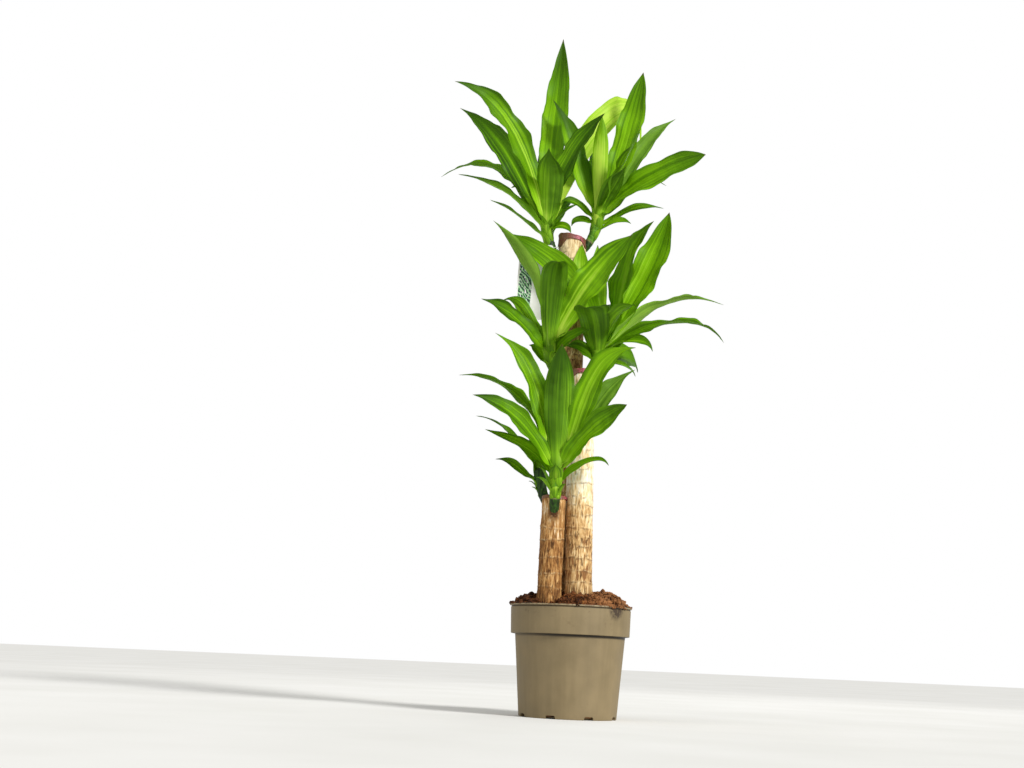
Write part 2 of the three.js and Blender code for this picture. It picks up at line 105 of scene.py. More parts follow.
def around(radius: Number, angle: Number, height: Number) -> Array:
    """Places about Z."""
    return np.stack(np.broadcast_arrays(radius * np.cos(angle), radius * np.sin(angle), height),
                    axis=-1)


def beside(line: Array, across: Array, up: Array, right: Array, rise: Array) -> Array:
    """Places so far across and so far up from each point of a line."""
    return line[:, None] + across[:, None] * right[..., None] + up[:, None] * rise[..., None]


def moved(points: Array, turn: Matrix, shift: Point | Vector) -> Array:
    """Points turned about the origin and then shifted."""
    return points @ np.array(turn).T + np.array(shift)


def lean(points: Array, foot: Vector, top: Vector) -> Array:
    """Points about Z, with their foot at 0, stood on another foot and leant towards a top."""
    return moved(points, Vector((0, 0, 1)).rotation_difference(top - foot).to_matrix(), foot)


def metres(lengths: tuple[float, ...]) -> tuple[float, ...]:
    """Lengths in millimetres as lengths in metres."""
    return tuple(length * MM for length in lengths)


def chance(seed: float) -> float:
    """A repeatable number from 0 to 1 for a seed."""
    wave = math.sin(seed * 127.1 + 311.7) * 43758.5453
    return wave - math.floor(wave)


def linear(code: str) -> Colour:
    """A colour for a shader.

    Args:
        code: the colour as it looks on a screen, such as #8c7d5e.

    Returns:
        Red, green and blue as shares of light, and 1.
    """
    shown = [int(code[start:start + 2], 16) / 255 for start in (1, 3, 5)]
    return (*[part / 12.92 if part < 0.04045 else ((part + 0.055) / 1.055) ** 2.4
              for part in shown], 1.0)


class Grain:
    """Smooth unevenness from -1 to 1, the same on every run, for roughening a surface."""

    CELLS = 48

    def __init__(self, seed: int) -> None:
        """Draws the values at the corners of the cells.

        Args:
            seed: picks one of many grains.
        """
        self.values = np.random.default_rng(seed).uniform(-1, 1, (self.CELLS,) * 3)

    def at(self, points: Array, size: float | Point) -> Array:
        """The grain at points.

        Args:
            points: places with three coordinates each.
            size: the width of a cell, one number or one for each axis.

        Returns:
            One value for each point.
        """
        cells = np.asarray(points, float) / np.asarray(size, float)
        low = np.floor(cells).astype(int)
        part = ease(0, 1, cells - low)
        total = np.zeros(cells.shape[:-1])
        for corner in np.ndindex(2, 2, 2):
            cell = (low + corner) % self.CELLS
            share = np.prod(np.where(np.array(corner, bool), part, 1 - part), axis=-1)
            total += share * self.values[cell[..., 0], cell[..., 1], cell[..., 2]]
        return total

    def rough(self, points: Array, size: float | Point, octaves: int = 3) -> Array:
        """The grain with finer and finer layers on it.

        Args:
            points: places with three coordinates each.
            size: the width of the coarsest layer's cell.
            octaves: how many layers there are.

        Returns:
            One value for each point.
        """
        layers = [self.at(np.asarray(points) + 17.3 * layer, np.asarray(size) / 2 ** layer)
                  / 2 ** layer for layer in range(octaves)]
        return sum(layers)


# ---- skins: points and faces before they become a mesh ----
@dataclass
class Skin:
    """The skin of one or more closed bodies, in millimetres.

    Attributes:
        points: one row of three coordinates for each point.
        faces: the points' numbers round each face, seen from outside.
        marks: named values, one for each point, that the finish reads.
    """

    points: Array
    faces: list[Face]
    marks: dict[str, Array] = field(default_factory=dict)


def join(skins: list[Skin]) -> Skin:
    """Several skins as one.

    Args:
        skins: the skins, each with marks of the same names.

    Returns:
        The one skin.
    """
    faces: list[Face] = []
    start = 0
    for skin in skins:
        faces.extend(tuple(int(corner) + start for corner in face) for face in skin.faces)
        start += len(skin.points)
    marks = {name: np.concatenate([skin.marks[name] for skin in skins])
             for name in skins[0].marks}
    return Skin(np.concatenate([skin.points for skin in skins]), faces, marks)


def tube(rings: Array, marks: dict[str, Array] | None = None) -> Skin:
    """A closed body through rings, with a fan of faces over each end.

    Args:
        rings: points as rows, sides and coordinates, turning left about the way they go.
        marks: named values as rows and sides.

    Returns:
        The body's skin.
    """
    rows, sides = rings.shape[:2]
    side = np.arange(sides)
    onward = (side + 1) % sides
    faces: list[Face] = []
    for row in range(rows - 1):
        near, far = row * sides, (row + 1) * sides
        faces.extend(zip(near + side, near + onward, far + onward, far + side))
    first, last = rows * sides, rows * sides + 1
    end = (rows - 1) * sides
    faces.extend(zip(onward, side, np.full(sides, first)))
    faces.extend(zip(end + side, end + onward, np.full(sides, last)))
    points = np.concatenate([rings.reshape(-1, 3), rings[[0, -1]].mean(axis=1)])
    flat = {name: np.concatenate([values.reshape(-1), values[[0, -1]].mean(axis=1)])
            for name, values in (marks or {}).items()}
    return Skin(points, faces, flat)


def quads(ids: Array, step: int = 1) -> list[Face]:
    """Faces over a grid of points' numbers, seen from the other side for a step of -1."""
    corners = np.stack([ids[:-1, :-1], ids[1:, :-1], ids[1:, 1:], ids[:-1, 1:]], axis=-1)
    return list(map(tuple, corners.reshape(-1, 4)[:, ::step]))


def lathe(outline: Array, sides: int) -> Array:
    """The rings of an outline, which is pairs of a radius and a height, turned about Z."""
    return around(outline[:, :1], circle(sides), outline[:, 1:])


def profile(rows: list[tuple[Number, Number]], sides: int) -> tuple[Array, Array]:
    """Radii and heights as rows and sides, from one number or many for each row."""
    radii, heights = ([np.broadcast_to(row, sides) for row in part] for part in zip(*rows))
    return np.array(radii), np.array(heights)


def rounded(corners: list[Point], longest: float, steps: int = 6) -> Array:
    """An outline with round corners and no long stretch.

    Args:
        corners: a radius, a height and the corner's rounding each.
        longest: the greatest distance between two points.
        steps: how many points a round corner gets.

    Returns:
        Pairs of a radius and a height.
    """
    places = np.array([corner[:2] for corner in corners], float)
    line: list[Array] = [places[0]]
    for before, place, after, corner in zip(places, places[1:], places[2:], corners[1:]):
        if corner[2] <= 0:
            line.append(place)
            continue
        back, ahead = unit(before - place), unit(after - place)
        half_angle = math.acos(float(np.clip(back @ ahead, -1, 1))) / 2
        reach = corner[2] / math.tan(half_angle)
        start, end = place + back * reach, place + ahead * reach
        for step in range(steps + 1):
            share = step / steps
            line.append((1 - share) ** 2 * start + 2 * share * (1 - share) * place
                        + share ** 2 * end)
    line.append(places[-1])
    dense: list[Array] = [line[0]]
    for start, end in zip(line, line[1:]):
        parts = max(1, math.ceil(float(np.linalg.norm(end - start)) / longest))
        dense.extend(start + (end - start) * part / parts for part in range(1, parts + 1))
    return np.array(dense)


def linked(name: str, data: bpy.types.ID) -> bpy.types.Object:
    """A Blender object, linked to the scene.

    Args:
        name: its name.
        data: its mesh, light or camera.

    Returns:
        The object.
    """
    made = bpy.data.objects.new(name, data)
    bpy.context.scene.collection.objects.link(made)
    return made


def object_of(name: str, skin: Skin) -> bpy.types.Object:
    """A Blender object of a skin, in metres.

    Args:
        name: the object's name.
        skin: the skin in millimetres.

    Returns:
        The object, linked to the scene.
    """
    mesh = bpy.data.meshes.new(name)
    mesh.from_pydata((skin.points * MM).tolist(), [], skin.faces)
    for mark, values in skin.marks.items():
        layer = mesh.attributes.new(mark, "FLOAT", "POINT")
        layer.data.foreach_set("value", np.asarray(values, np.float32))
    mesh.update()
    return linked(name, mesh)


def carve(body: Skin, cutters: list[Skin]) -> Skin:
    """A body with cutters taken out of it. Marks aren't kept.

    Args:
        body: the closed body.
        cutters: closed bodies clear of each other.

    Returns:
        What is left.
    """
    made = object_of("body", body)
    tool = object_of("cutters", join([Skin(cutter.points, cutter.faces) for cutter in cutters]))
    cut = made.modifiers.new("carve", "BOOLEAN")
    cut.operation, cut.object, cut.solver = "DIFFERENCE", tool, "EXACT"
    shaped = made.evaluated_get(bpy.context.evaluated_depsgraph_get()).to_mesh()
    points = np.empty(len(shaped.vertices) * 3)
    shaped.vertices.foreach_get("co", points)
    faces = [tuple(face.vertices) for face in shaped.polygons]
    for spare in (made, tool):
        mesh = spare.data
        bpy.data.objects.remove(spare)
        bpy.data.meshes.remove(mesh)
    return Skin(points.reshape(-1, 3) / MM, faces)


def make_piece(name: str, skin: Skin, material: bpy.types.Material, node: str,
               crease: float = 40.0) -> None:
    """Turns a skin into a dressed piece that stands for a node.

    Args:
        name: the piece's name.
        skin: its skin.
        material: its finish.
        node: the node that it stands for.
        crease: faces that meet at more degrees than this keep a sharp edge.
    """
    piece = object_of(name, skin)
    piece.data.shade_smooth()
    piece.data.set_sharp_from_angle(angle=math.radians(crease))
    piece.data.materials.append(material)
    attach(piece, "root")
    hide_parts(node)
    log.info("%s: %d faces for %s", name, len(skin.faces), node)


# ---- finishes ----
class Brush:
    """The shader nodes of a material, or of the world, while they are being made."""

    def __init__(self, name: str, world: bool = False) -> None:
        """Starts without nodes.

        Args:
            name: the name of the material or of the world.
            world: whether it is a world.
        """
        self.owner = (bpy.data.worlds if world else bpy.data.materials).new(name)
        self.owner.use_nodes = True
        self.tree = self.owner.node_tree
        self.tree.nodes.clear()

    def add(self, kind: str, inputs: dict[str | int, object] | None = None,
            **settings: object) -> bpy.types.Node:
        """Adds a node.

        Args:
            kind: the node's type without its ShaderNode.
            inputs: sockets to link and values to set, by the input's name or number. None
                leaves an input as it is.
            **settings: the node's own settings.

        Returns:
            The node.
        """
        node = self.tree.nodes.new(f"ShaderNode{kind}")
        for name, value in settings.items():
            setattr(node, name, value)
        for key, value in (inputs or {}).items():
            if isinstance(value, bpy.types.NodeSocket):
                self.tree.links.new(value, node.inputs[key])
            elif value is not None:
                node.inputs[key].default_value = value
        return node

    def place(self) -> Socket:
        """The place on the piece, in metres."""
        return self.add("TexCoord").outputs["Object"]

    def mark(self, name: str) -> Socket:
        """The mark of a name on the skin."""
        return self.add("Attribute", attribute_name=name).outputs["Fac"]

    def noise(self, where: Socket, scale: float | Point, detail: float, warp: float = 0.0,
              turn: Point = (0, 0, 0)) -> Socket:
        """Clouds from 0 to 1.

        Args:
            where: the place.
            scale: how close together they are, one number or one for each axis.
            detail: how many finer layers lie on them.
            warp: how far they are distorted.
            turn: the turn that follows a scale for each axis.

        Returns:
            The clouds.
        """
        if isinstance(scale, tuple):
            where = self.add("Mapping", {"Vector": where, "Scale": scale,
                                         "Rotation": turn}).outputs[0]
            scale = 1.0
        return self.add("TexNoise", {"Vector": where, "Scale": scale, "Detail": detail,
                                     "Distortion": warp}).outputs[0]

    def calc(self, operation: str, *values: object) -> Socket:
        """The outcome of a sum on sockets and numbers."""
        return self.add("Math", dict(enumerate(values)), operation=operation).outputs[0]

    def times(self, *factors: object) -> Socket:
        """The product of sockets and numbers."""
        return reduce(partial(self.calc, "MULTIPLY"), factors)

    def weighed(self, first: Socket, second: Socket, share: float) -> Socket:
        """A share of the first value with the rest made up of the second."""
        return self.calc("ADD", self.times(first, share), self.times(second, 1 - share))

    def spread(self, value: Socket, low: float, high: float, start: float = 0.0,
               end: float = 1.0) -> Socket:
        """A value with low and high moved to start and end, and held between them."""
        return self.add("MapRange", {"Value": value, "From Min": low, "From Max": high,
                                     "To Min": start, "To Max": end}).outputs[0]

    def about(self, clouds: Socket, middle: float, less: float, more: float) -> Socket:
        """A number that clouds take from so much less than a middle to so much more."""
        return self.spread(clouds, 0.3, 0.7, middle - less, middle + more)

    def ramp(self, value: Socket, stops: list[tuple[float, str]]) -> Socket:
        """Colours by a value.

        Args:
            value: a value from 0 to 1.
            stops: a value and a colour's code each, in rising order.

        Returns:
            The colour.
        """
        node = self.add("ValToRGB", {0: value})
        elements = node.color_ramp.elements
        while len(elements) < len(stops):
            elements.new(0.5)
        for element, (position, code) in zip(elements, stops):
            element.position = position
            element.color = linear(code)
        return node.outputs[0]

    def blend(self, share: object, first: object, second: object) -> Socket:
        """A colour mixed from two by a share, which is a socket or a number."""
        return self.add("Mix", {0: share, 6: first, 7: second}, data_type="RGBA").outputs[2]

    def tint(self, share: object, colour: Socket, code: str) -> Socket:
        """A colour with a share of another, given by its code, laid over it."""
        return self.blend(share, colour, linear(code))

    def near(self, where: Point, reach: Point) -> Socket:
        """How near the surface is to a place, from 0 to 1.

        Args:
            where: the place in millimetres.
            reach: how far the nearness goes along each axis.

        Returns:
            The nearness.
        """
        spot = self.add("Mapping", {"Vector": self.place(), "Location": metres(where),
                                    "Scale": metres(reach)}, vector_type="TEXTURE").outputs[0]
        away = self.add("VectorMath", {0: spot}, operation="LENGTH").outputs["Value"]
        return self.spread(away, 1.0, 0.0)

    def bump(self, height: Socket, depth: float, strength: float,
             under: Socket | None = None) -> Socket:
        """The slope of a fine relief.

        Args:
            height: a value from 0 to 1.
            depth: the relief's depth in millimetres.
            strength: how far it shows.
            under: a coarser relief below it.

        Returns:
            The slope for a shader.
        """
        return self.add("Bump", {"Height": height, "Distance": depth * MM, "Strength": strength,
                                 "Normal": under}).outputs[0]

    def opaque(self, colour: Socket, rough: Socket | float, relief: Socket | None = None,
               shine: float = 0.5, others: dict[str, object] | None = None) -> Socket:
        """The shader of a surface.

        Args:
            colour: its colour.
            rough: its roughness, from 0 to 1.
            relief: its slope.
            shine: how strongly it mirrors.
            others: more inputs by name.

        Returns:
            The shader.
        """
        return self.add("BsdfPrincipled", {
            "Base Color": colour, "Roughness": rough, "Normal": relief,
            "Specular IOR Level": shine, **(others or {})}).outputs[0]

    def done(self, shader: Socket, kind: str = "OutputMaterial") -> bpy.types.ID:
        """The finished material or world, which ends in a shader."""
        self.add(kind, {"Surface": shader})
        return self.owner


@dataclass(frozen=True)
class PotPlastic:
    """Matt taupe plastic, mottled a little, with dust on the band.

    The top of the lip is lighter as a painted highlight, and the plastic under the lip and under
    the band is darker as painted shade.
    """

    body: str = "#877655"
    shade: str = "#736446"
    # a painted highlight along the top of the lip
    lip: str = "#9a8a6a"
    dust: str = "#55402b"
    # painted shade, for the plastic under the lip and under the band
    groove_shade: str = "#221910"
    soiled: str = "#35261a"
    roughness: float = 0.55
    band_foot: float = 125.5
    rim: float = 170.0
    smudge: Point = (66.0, -67.0, 164.5)
    smudge_reach: Point = (15.0, 30.0, 17.0)
    smudge_strength: float = 2.2
    cloud_scale: float = 26.0
    streak_scale: Point = (90.0, 90.0, 6.0)
    speck_scale: float = 210.0
    patch_scale: float = 34.0
    tooth_scale: float = 900.0

    def material(self) -> bpy.types.Material:
        """The finish as a material."""
        brush = Brush("pot_plastic")
        place = brush.place()
        clouds = brush.noise(place, self.cloud_scale, 4.0)
        streaks = brush.noise(place, self.streak_scale, 3.0)
        specks = brush.noise(place, self.speck_scale, 5.0)
        patches = brush.noise(place, self.patch_scale, 3.0)
        right, _, up = brush.add("SeparateXYZ", {0: place}).outputs
        level = brush.calc("DIVIDE", up, MM)
        colour = brush.ramp(brush.weighed(clouds, streaks, 0.6),
                            [(0.3, self.shade), (0.66, self.body)])
        # Painted highlight: the top of the lip is lighter.
        on_lip = brush.spread(level, self.rim - 2.2, self.rim - 1.2)
        dusty = brush.times(brush.spread(specks, 0.54, 0.68), brush.spread(patches, 0.46, 0.66),
                            brush.spread(level, self.band_foot, self.rim, 0.08, 0.6))
        grimy = brush.times(brush.spread(level, self.rim - 2.6, self.rim - 1.0),
                            brush.spread(specks, 0.44, 0.58, 0.05, 0.7))
        # Painted shade: dark bands under the band, stronger towards the right, and under the lip.
        shade_under_band = self.line(brush, level, self.band_foot - 4.8, self.band_foot + 0.3)
        shade_under_band = brush.times(shade_under_band, brush.spread(right, -0.09, -0.03, 0.4, 1.0))
        shade_under_lip = self.line(brush, level, self.rim - 5.2, self.rim - 2.3)
        painted_shade = brush.calc("MINIMUM", brush.calc("MAXIMUM", shade_under_band, shade_under_lip), 0.95)
        smudge = brush.times(brush.near(self.smudge, self.smudge_reach), self.smudge_strength,
                             brush.spread(specks, 0.34, 0.56, 0.3, 1.0))
        for share, code in ((on_lip, self.lip), (dusty, self.dust), (grimy, self.dust),
                            (painted_shade, self.groove_shade), (brush.calc("MINIMUM", smudge, 0.92), self.soiled)):
            colour = brush.tint(share, colour, code)
        relief = brush.bump(brush.noise(place, self.tooth_scale, 2.0), 0.05, 0.35)
        rough = brush.about(clouds, self.roughness, 0.08, 0.1)
        return brush.done(brush.opaque(colour, rough, relief, 0.4))

    def line(self, brush: Brush, level: Socket, low: float, high: float) -> Socket:
        """A soft band round the pot between two heights."""
        return brush.times(brush.spread(level, low, low + 2.6),
                           brush.spread(level, high, high - 0.6))


@dataclass(frozen=True)
class PottingMix:
    """Loose reddish-brown coir and peat; the mark fibre shows strands.

    The right side is painted lighter as sunlight, and the left side darker as painted shade.
    """

    dark: str = "#1f0e06"
    body: str = "#5e3213"
    pale: str = "#7d4a24"
    straw: str = "#96642e"
    # painted sunlight, which lightens the right side
    dry: str = "#a8764a"
    roughness: float = 0.95
    lump_scale: float = 78.0
    grit_scale: float = 520.0
    grit_depth: float = 0.9

    def material(self) -> bpy.types.Material:
        """The finish as a material."""
        brush = Brush("potting_mix")
        place = brush.place()
        lumps = brush.noise(place, self.lump_scale, 5.0)
        grit = brush.noise(place, self.grit_scale, 3.0)
        shade = brush.weighed(lumps, grit, 0.55)
        colour = brush.ramp(shade, [(0.41, self.dark), (0.52, self.body), (0.64, self.pale)])
        colour = brush.blend(brush.mark("fibre"), colour,
                             brush.ramp(grit, [(0.3, self.pale), (0.62, self.straw)]))
        right = brush.add("SeparateXYZ", {0: place}).outputs[0]
        # Painted sunlight lightens the paler lumps on the right; painted shade darkens the left.
        dry = brush.times(brush.spread(right, 0.01, 0.05, 0.1, 0.75),
                          brush.spread(shade, 0.42, 0.58))
        colour = brush.tint(dry, colour, self.dry)
        colour = brush.tint(brush.spread(right, -0.015, -0.06, 0.0, 0.45), colour, self.dark)
        relief = brush.bump(grit, self.grit_depth, 0.8)
        return brush.done(brush.opaque(colour, self.roughness, relief, 0.2))


@dataclass(frozen=True)
class CaneBark:
    """Pale tan corky bark, fibrous along the cane.

    The marks are scar and crease, for raised rings and sunk lines, and tone, from dark to pale,
    which changes from ring to ring and, as painted sunlight, gets paler up the cane.
    """

    name: str
    # the palest bark, which the painted sunlight on the upper cane reaches
    bare: str = "#fff6df"
    pale: str = "#dcc190"
    body: str = "#bb945c"
    brown: str = "#7c532c"
    crease: str = "#42270f"
    ring: str = "#e6d0a2"
    roughness: float = 0.82
    fibre_scale: Point = (400.0, 400.0, 62.0)
    blotch_scale: Point = (44.0, 44.0, 40.0)
    crack_scale: Point = (270.0, 270.0, 75.0)
    fleck_scale: float = 330.0
    pore_scale: float = 1500.0
    fibre_depth: float = 0.6
    pore_depth: float = 0.12

    def material(self) -> bpy.types.Material:
        """The finish as a material."""
        brush = Brush(self.name)
        place = brush.place()
        fibres = brush.noise(place, self.fibre_scale, 4.0, 0.5)
        blotches = brush.noise(place, self.blotch_scale, 4.0, 0.6)
        cracks = brush.noise(place, self.crack_scale, 3.0, 0.6)
        flecks = brush.noise(place, self.fleck_scale, 3.0)
        pores = brush.noise(place, self.pore_scale, 2.0)
        shade = brush.calc("ADD", brush.weighed(fibres, blotches, 0.62),
                           brush.spread(brush.mark("tone_and_sunlight"), 0.0, 1.4, -0.11, 0.17))
        colour = brush.ramp(shade, [(0.36, self.brown), (0.47, self.body), (0.58, self.pale),
                                    (0.72, self.bare)])
        worn = brush.times(brush.mark("scar"), brush.spread(flecks, 0.4, 0.55))
        colour = brush.tint(worn, colour, self.ring)
        splits = brush.times(brush.spread(cracks, 0.45, 0.34, 0.0, 0.8),
                             brush.spread(brush.mark("tone_and_sunlight"), 0.3, 1.3, 1.0, 0.4))
        lines = brush.times(brush.mark("crease"), brush.spread(flecks, 0.34, 0.5, 0.5, 1.0))
        colour = brush.tint(brush.calc("MAXIMUM", lines, splits), colour, self.crease)
        relief = brush.bump(fibres, self.fibre_depth, 0.8, brush.bump(pores, self.pore_depth, 0.5))
        rough = brush.about(pores, self.roughness, 0.08, 0.08)
        return brush.done(brush.opaque(colour, rough, relief, 0.25))


@dataclass(frozen=True)
class SealingWax:
    """Burgundy wax, satin; the marks thin and stain pick out pink and brown places."""

    body: str = "#7a2634"
    deep: str = "#4a1a1e"
    thin: str = "#b0505f"
    stain: str = "#75502a"
    roughness: float = 0.5
    cloud_scale: float = 75.0
    patch_scale: float = 230.0
    dent_scale: float = 260.0
    dent_depth: float = 0.4

    def material(self) -> bpy.types.Material:
        """The finish as a material."""
        brush = Brush("sealing_wax")
        place = brush.place()
        clouds = brush.noise(place, self.cloud_scale, 4.0, 0.5)
        patches = brush.noise(place, self.patch_scale, 4.0)
        colour = brush.ramp(clouds, [(0.36, self.deep), (0.56, self.body)])
        thin = brush.times(brush.mark("thin"), brush.spread(patches, 0.36, 0.6))
        colour = brush.tint(thin, colour, self.thin)
        stain = brush.times(brush.mark("stain"), brush.spread(patches, 0.72, 0.5))
        colour = brush.tint(stain, colour, self.stain)
        relief = brush.bump(brush.noise(place, self.dent_scale, 3.0), self.dent_depth, 0.5)
        return brush.done(brush.opaque(
            colour, brush.about(clouds, self.roughness, 0.1, 0.15), relief,
            others={"Subsurface Weight": 0.1, "Subsurface Radius": (0.004, 0.001, 0.001),
                    "Coat Weight": 0.06, "Coat Roughness": 0.35}))


@dataclass(frozen=True)
class LeafBlade:
    """Green leaf with lighter lengthwise streaks and fine veins, through which light glows.

    The marks are across and along, the place on the blade, leaf, which tells the blades apart,
    light, from deep green to yellow-green, stripe, how much lighter the streaks in its stripe
    are, and underside, for the duller lower face.
    """

    deep: str = "#335904"
    body: str = "#629708"
    fresh: str = "#94cc12"
    yellow: str = "#cbea52"
    under_deep: str = "#5c8a28"
    under_pale: str = "#a8cc55"
    dry: str = "#5c5a24"
    glow: str = "#c2e624"
    roughness: float = 0.44
    see_through: float = 0.35
    streak_scale: Point = (6.5, 0.8, 40.0)
    vein_scale: Point = (30.0, 1.4, 40.0)
    thread_scale: Point = (14.0, 0.9, 40.0)
    streak_light: float = 0.17
    vein_light: float = 0.08
    rib_light: float = 0.1
    rib_width: float = 0.07
    streak_depth: float = 0.7
    vein_depth: float = 0.22

    def material(self) -> bpy.types.Material:
        """The finish as a material."""
        brush = Brush("leaf_blade")
        across, along = brush.mark("across"), brush.mark("along")
        place = brush.add("CombineXYZ", {0: across, 1: along, 2: brush.mark("leaf")}).outputs[0]
        streaks = brush.noise(place, self.streak_scale, 3.0)
        veins = brush.noise(place, self.vein_scale, 2.0)
        threads = brush.noise(place, self.thread_scale, 4.0)
        light = brush.mark("light")
        for part in (brush.spread(streaks, 0.34, 0.66, -self.streak_light, self.streak_light),
                     brush.spread(veins, 0.32, 0.68, -self.vein_light, self.vein_light),
                     brush.times(brush.mark("stripe"), brush.spread(threads, 0.36, 0.62, 0.3, 1.1)),
                     brush.times(brush.spread(brush.calc("ABSOLUTE", across), self.rib_width, 0.0),
                                 brush.spread(along, 0.75, 0.1, 0.0, self.rib_light))):
            light = brush.calc("ADD", light, part)
        top = brush.ramp(light, [(0.05, self.deep), (0.38, self.body), (0.66, self.fresh),
                                 (0.98, self.yellow)])
        below = brush.blend(brush.spread(light, 0.1, 0.9), linear(self.under_deep),
                            linear(self.under_pale))
        colour = brush.blend(brush.mark("underside"), top, below)
        tip = brush.spread(brush.calc("ADD", along, brush.times(streaks, 0.02)), 0.985, 1.002)
        colour = brush.tint(tip, colour, self.dry)
        relief = brush.bump(veins, self.vein_depth, 0.5,
                            brush.bump(streaks, self.streak_depth, 0.45))
        face = brush.opaque(colour, brush.about(veins, self.roughness, 0.05, 0.12), relief, 0.13)
        shine = brush.tint(0.5, colour, self.glow)
        glow = brush.add("BsdfTranslucent", {"Color": shine, "Normal": relief}).outputs[0]
        shader = brush.add("MixShader", {0: self.see_through, 1: face, 2: glow})
        return brush.done(shader.outputs[0])


@dataclass(frozen=True)
class StemGreen:
    """Smooth green stem, dark at its foot, with paler rings where leaves were.

    The marks are ring, knob and collar, for the rings, the foot and the foot's upper end.
    """

    body: str = "#5f9418"
    deep: str = "#356010"
    ring: str = "#86a83c"
    knob: str = "#142609"
    collar: str = "#8a6f5a"
    roughness: float = 0.55
    streak_scale: Point = (300.0, 300.0, 40.0)
    streak_depth: float = 0.3

    def material(self) -> bpy.types.Material:
        """The finish as a material."""
        brush = Brush("stem_green")
        streaks = brush.noise(brush.place(), self.streak_scale, 3.0)
        colour = brush.ramp(streaks, [(0.34, self.deep), (0.6, self.body)])
        colour = brush.tint(brush.times(brush.mark("ring"), 0.5), colour, self.ring)
        dark = brush.ramp(streaks, [(0.42, self.knob), (0.78, self.deep)])
        colour = brush.blend(brush.mark("knob"), colour, dark)
        colour = brush.tint(brush.mark("collar"), colour, self.collar)
        relief = brush.bump(streaks, self.streak_depth, 0.5)
        return brush.done(brush.opaque(colour, self.roughness, relief, 0.25))


@dataclass(frozen=True)
class PrintedCard:
    """Coated white card with a plain printed panel of green leaf streaks on its front.

    Attributes:
        centre: the card's middle.
        tilt: its turn about Y, in degrees.
        panel: the printed panel's left and right edge, foot and top.
    """

    centre: Point
    tilt: float
    panel: tuple[float, float, float, float]
    paper: str = "#f4f3ee"
    shade: str = "#e2e0d6"
    dark: str = "#2c3b3c"
    green: str = "#4f9a55"
    pale: str = "#a9d3a0"
    roughness: float = 0.35
    streak_scale: float = 95.0
    streak_warp: float = 9.0
    gleam_scale: Point = (420.0, 1.0, 130.0)
    gleam_turn: Point = (0.0, 0.7, 0.0)
    cloud_scale: float = 30.0
    tooth_scale: float = 800.0

    def material(self) -> bpy.types.Material:
        """The finish as a material."""
        brush = Brush("printed_card")
        spot = brush.add("TexCoord")
        local = brush.add("Mapping", {
            "Vector": spot.outputs["Object"], "Location": metres(self.centre),
            "Rotation": (0, math.radians(self.tilt), 0)}, vector_type="TEXTURE").outputs[0]
        right, _, rise = brush.add("SeparateXYZ", {0: local}).outputs
        front = brush.add("SeparateXYZ", {0: spot.outputs["Normal"]}).outputs[1]
        left, edge, foot, top = metres(self.panel)
        inside = brush.times(brush.calc("LESS_THAN", front, -0.3),
                             *(brush.calc(test, value, limit) for value, limit, test in (
                                 (right, left, "GREATER_THAN"), (right, edge, "LESS_THAN"),
                                 (rise, foot, "GREATER_THAN"), (rise, top, "LESS_THAN"))))
        fan = brush.add("TexWave", {"Vector": local, "Scale": self.streak_scale,
                                    "Distortion": self.streak_warp, "Detail": 3.0,
                                    "Detail Scale": 0.8}, bands_direction="DIAGONAL").outputs[1]
        gleams = brush.noise(local, self.gleam_scale, 3.0, turn=self.gleam_turn)
        print_colour = brush.ramp(fan, [(0.3, self.dark), (0.6, self.green), (0.95, self.pale)])
        print_colour = brush.tint(brush.spread(gleams, 0.56, 0.62), print_colour, self.paper)
        clouds = brush.noise(local, self.cloud_scale, 3.0)
        paper = brush.ramp(clouds, [(0.3, self.shade), (0.6, self.paper)])
        colour = brush.blend(inside, paper, print_colour)
        relief = brush.bump(brush.noise(local, self.tooth_scale, 2.0), 0.03, 0.3)
        return brush.done(brush.opaque(colour, self.roughness, relief))


@dataclass(frozen=True)
class Elastic:
    """Thin white elastic with fine ribs round it."""

    body: str = "#dcdcd2"
    groove: str = "#a9a89c"
    roughness: float = 0.7
    rib_scale: float = 420.0

    def material(self) -> bpy.types.Material:
        """The finish as a material."""
        brush = Brush("elastic")
        ribs = brush.add("TexWave", {"Vector": brush.place(), "Scale": self.rib_scale,
                                     "Distortion": 1.0}, bands_direction="Z").outputs[1]
        # Painted shade: the grooves between the ribs are darker.
        colour = brush.ramp(ribs, [(0.2, self.groove), (0.7, self.body)])
        return brush.done(brush.opaque(colour, self.roughness, brush.bump(ribs, 0.1, 0.5)))


@dataclass(frozen=True)
class StudioFloor:
    """A plain pale floor."""

    body: str = "#e9e8e4"
    shade: str = "#e2e1dc"
    roughness: float = 0.9

    def material(self) -> bpy.types.Material:
        """The finish as a material."""
        brush = Brush("studio_floor")
        clouds = brush.noise(brush.place(), 3.0, 3.0)
        colour = brush.ramp(clouds, [(0.3, self.shade), (0.7, self.body)])
        return brush.done(brush.opaque(colour, self.roughness, shine=0.0))


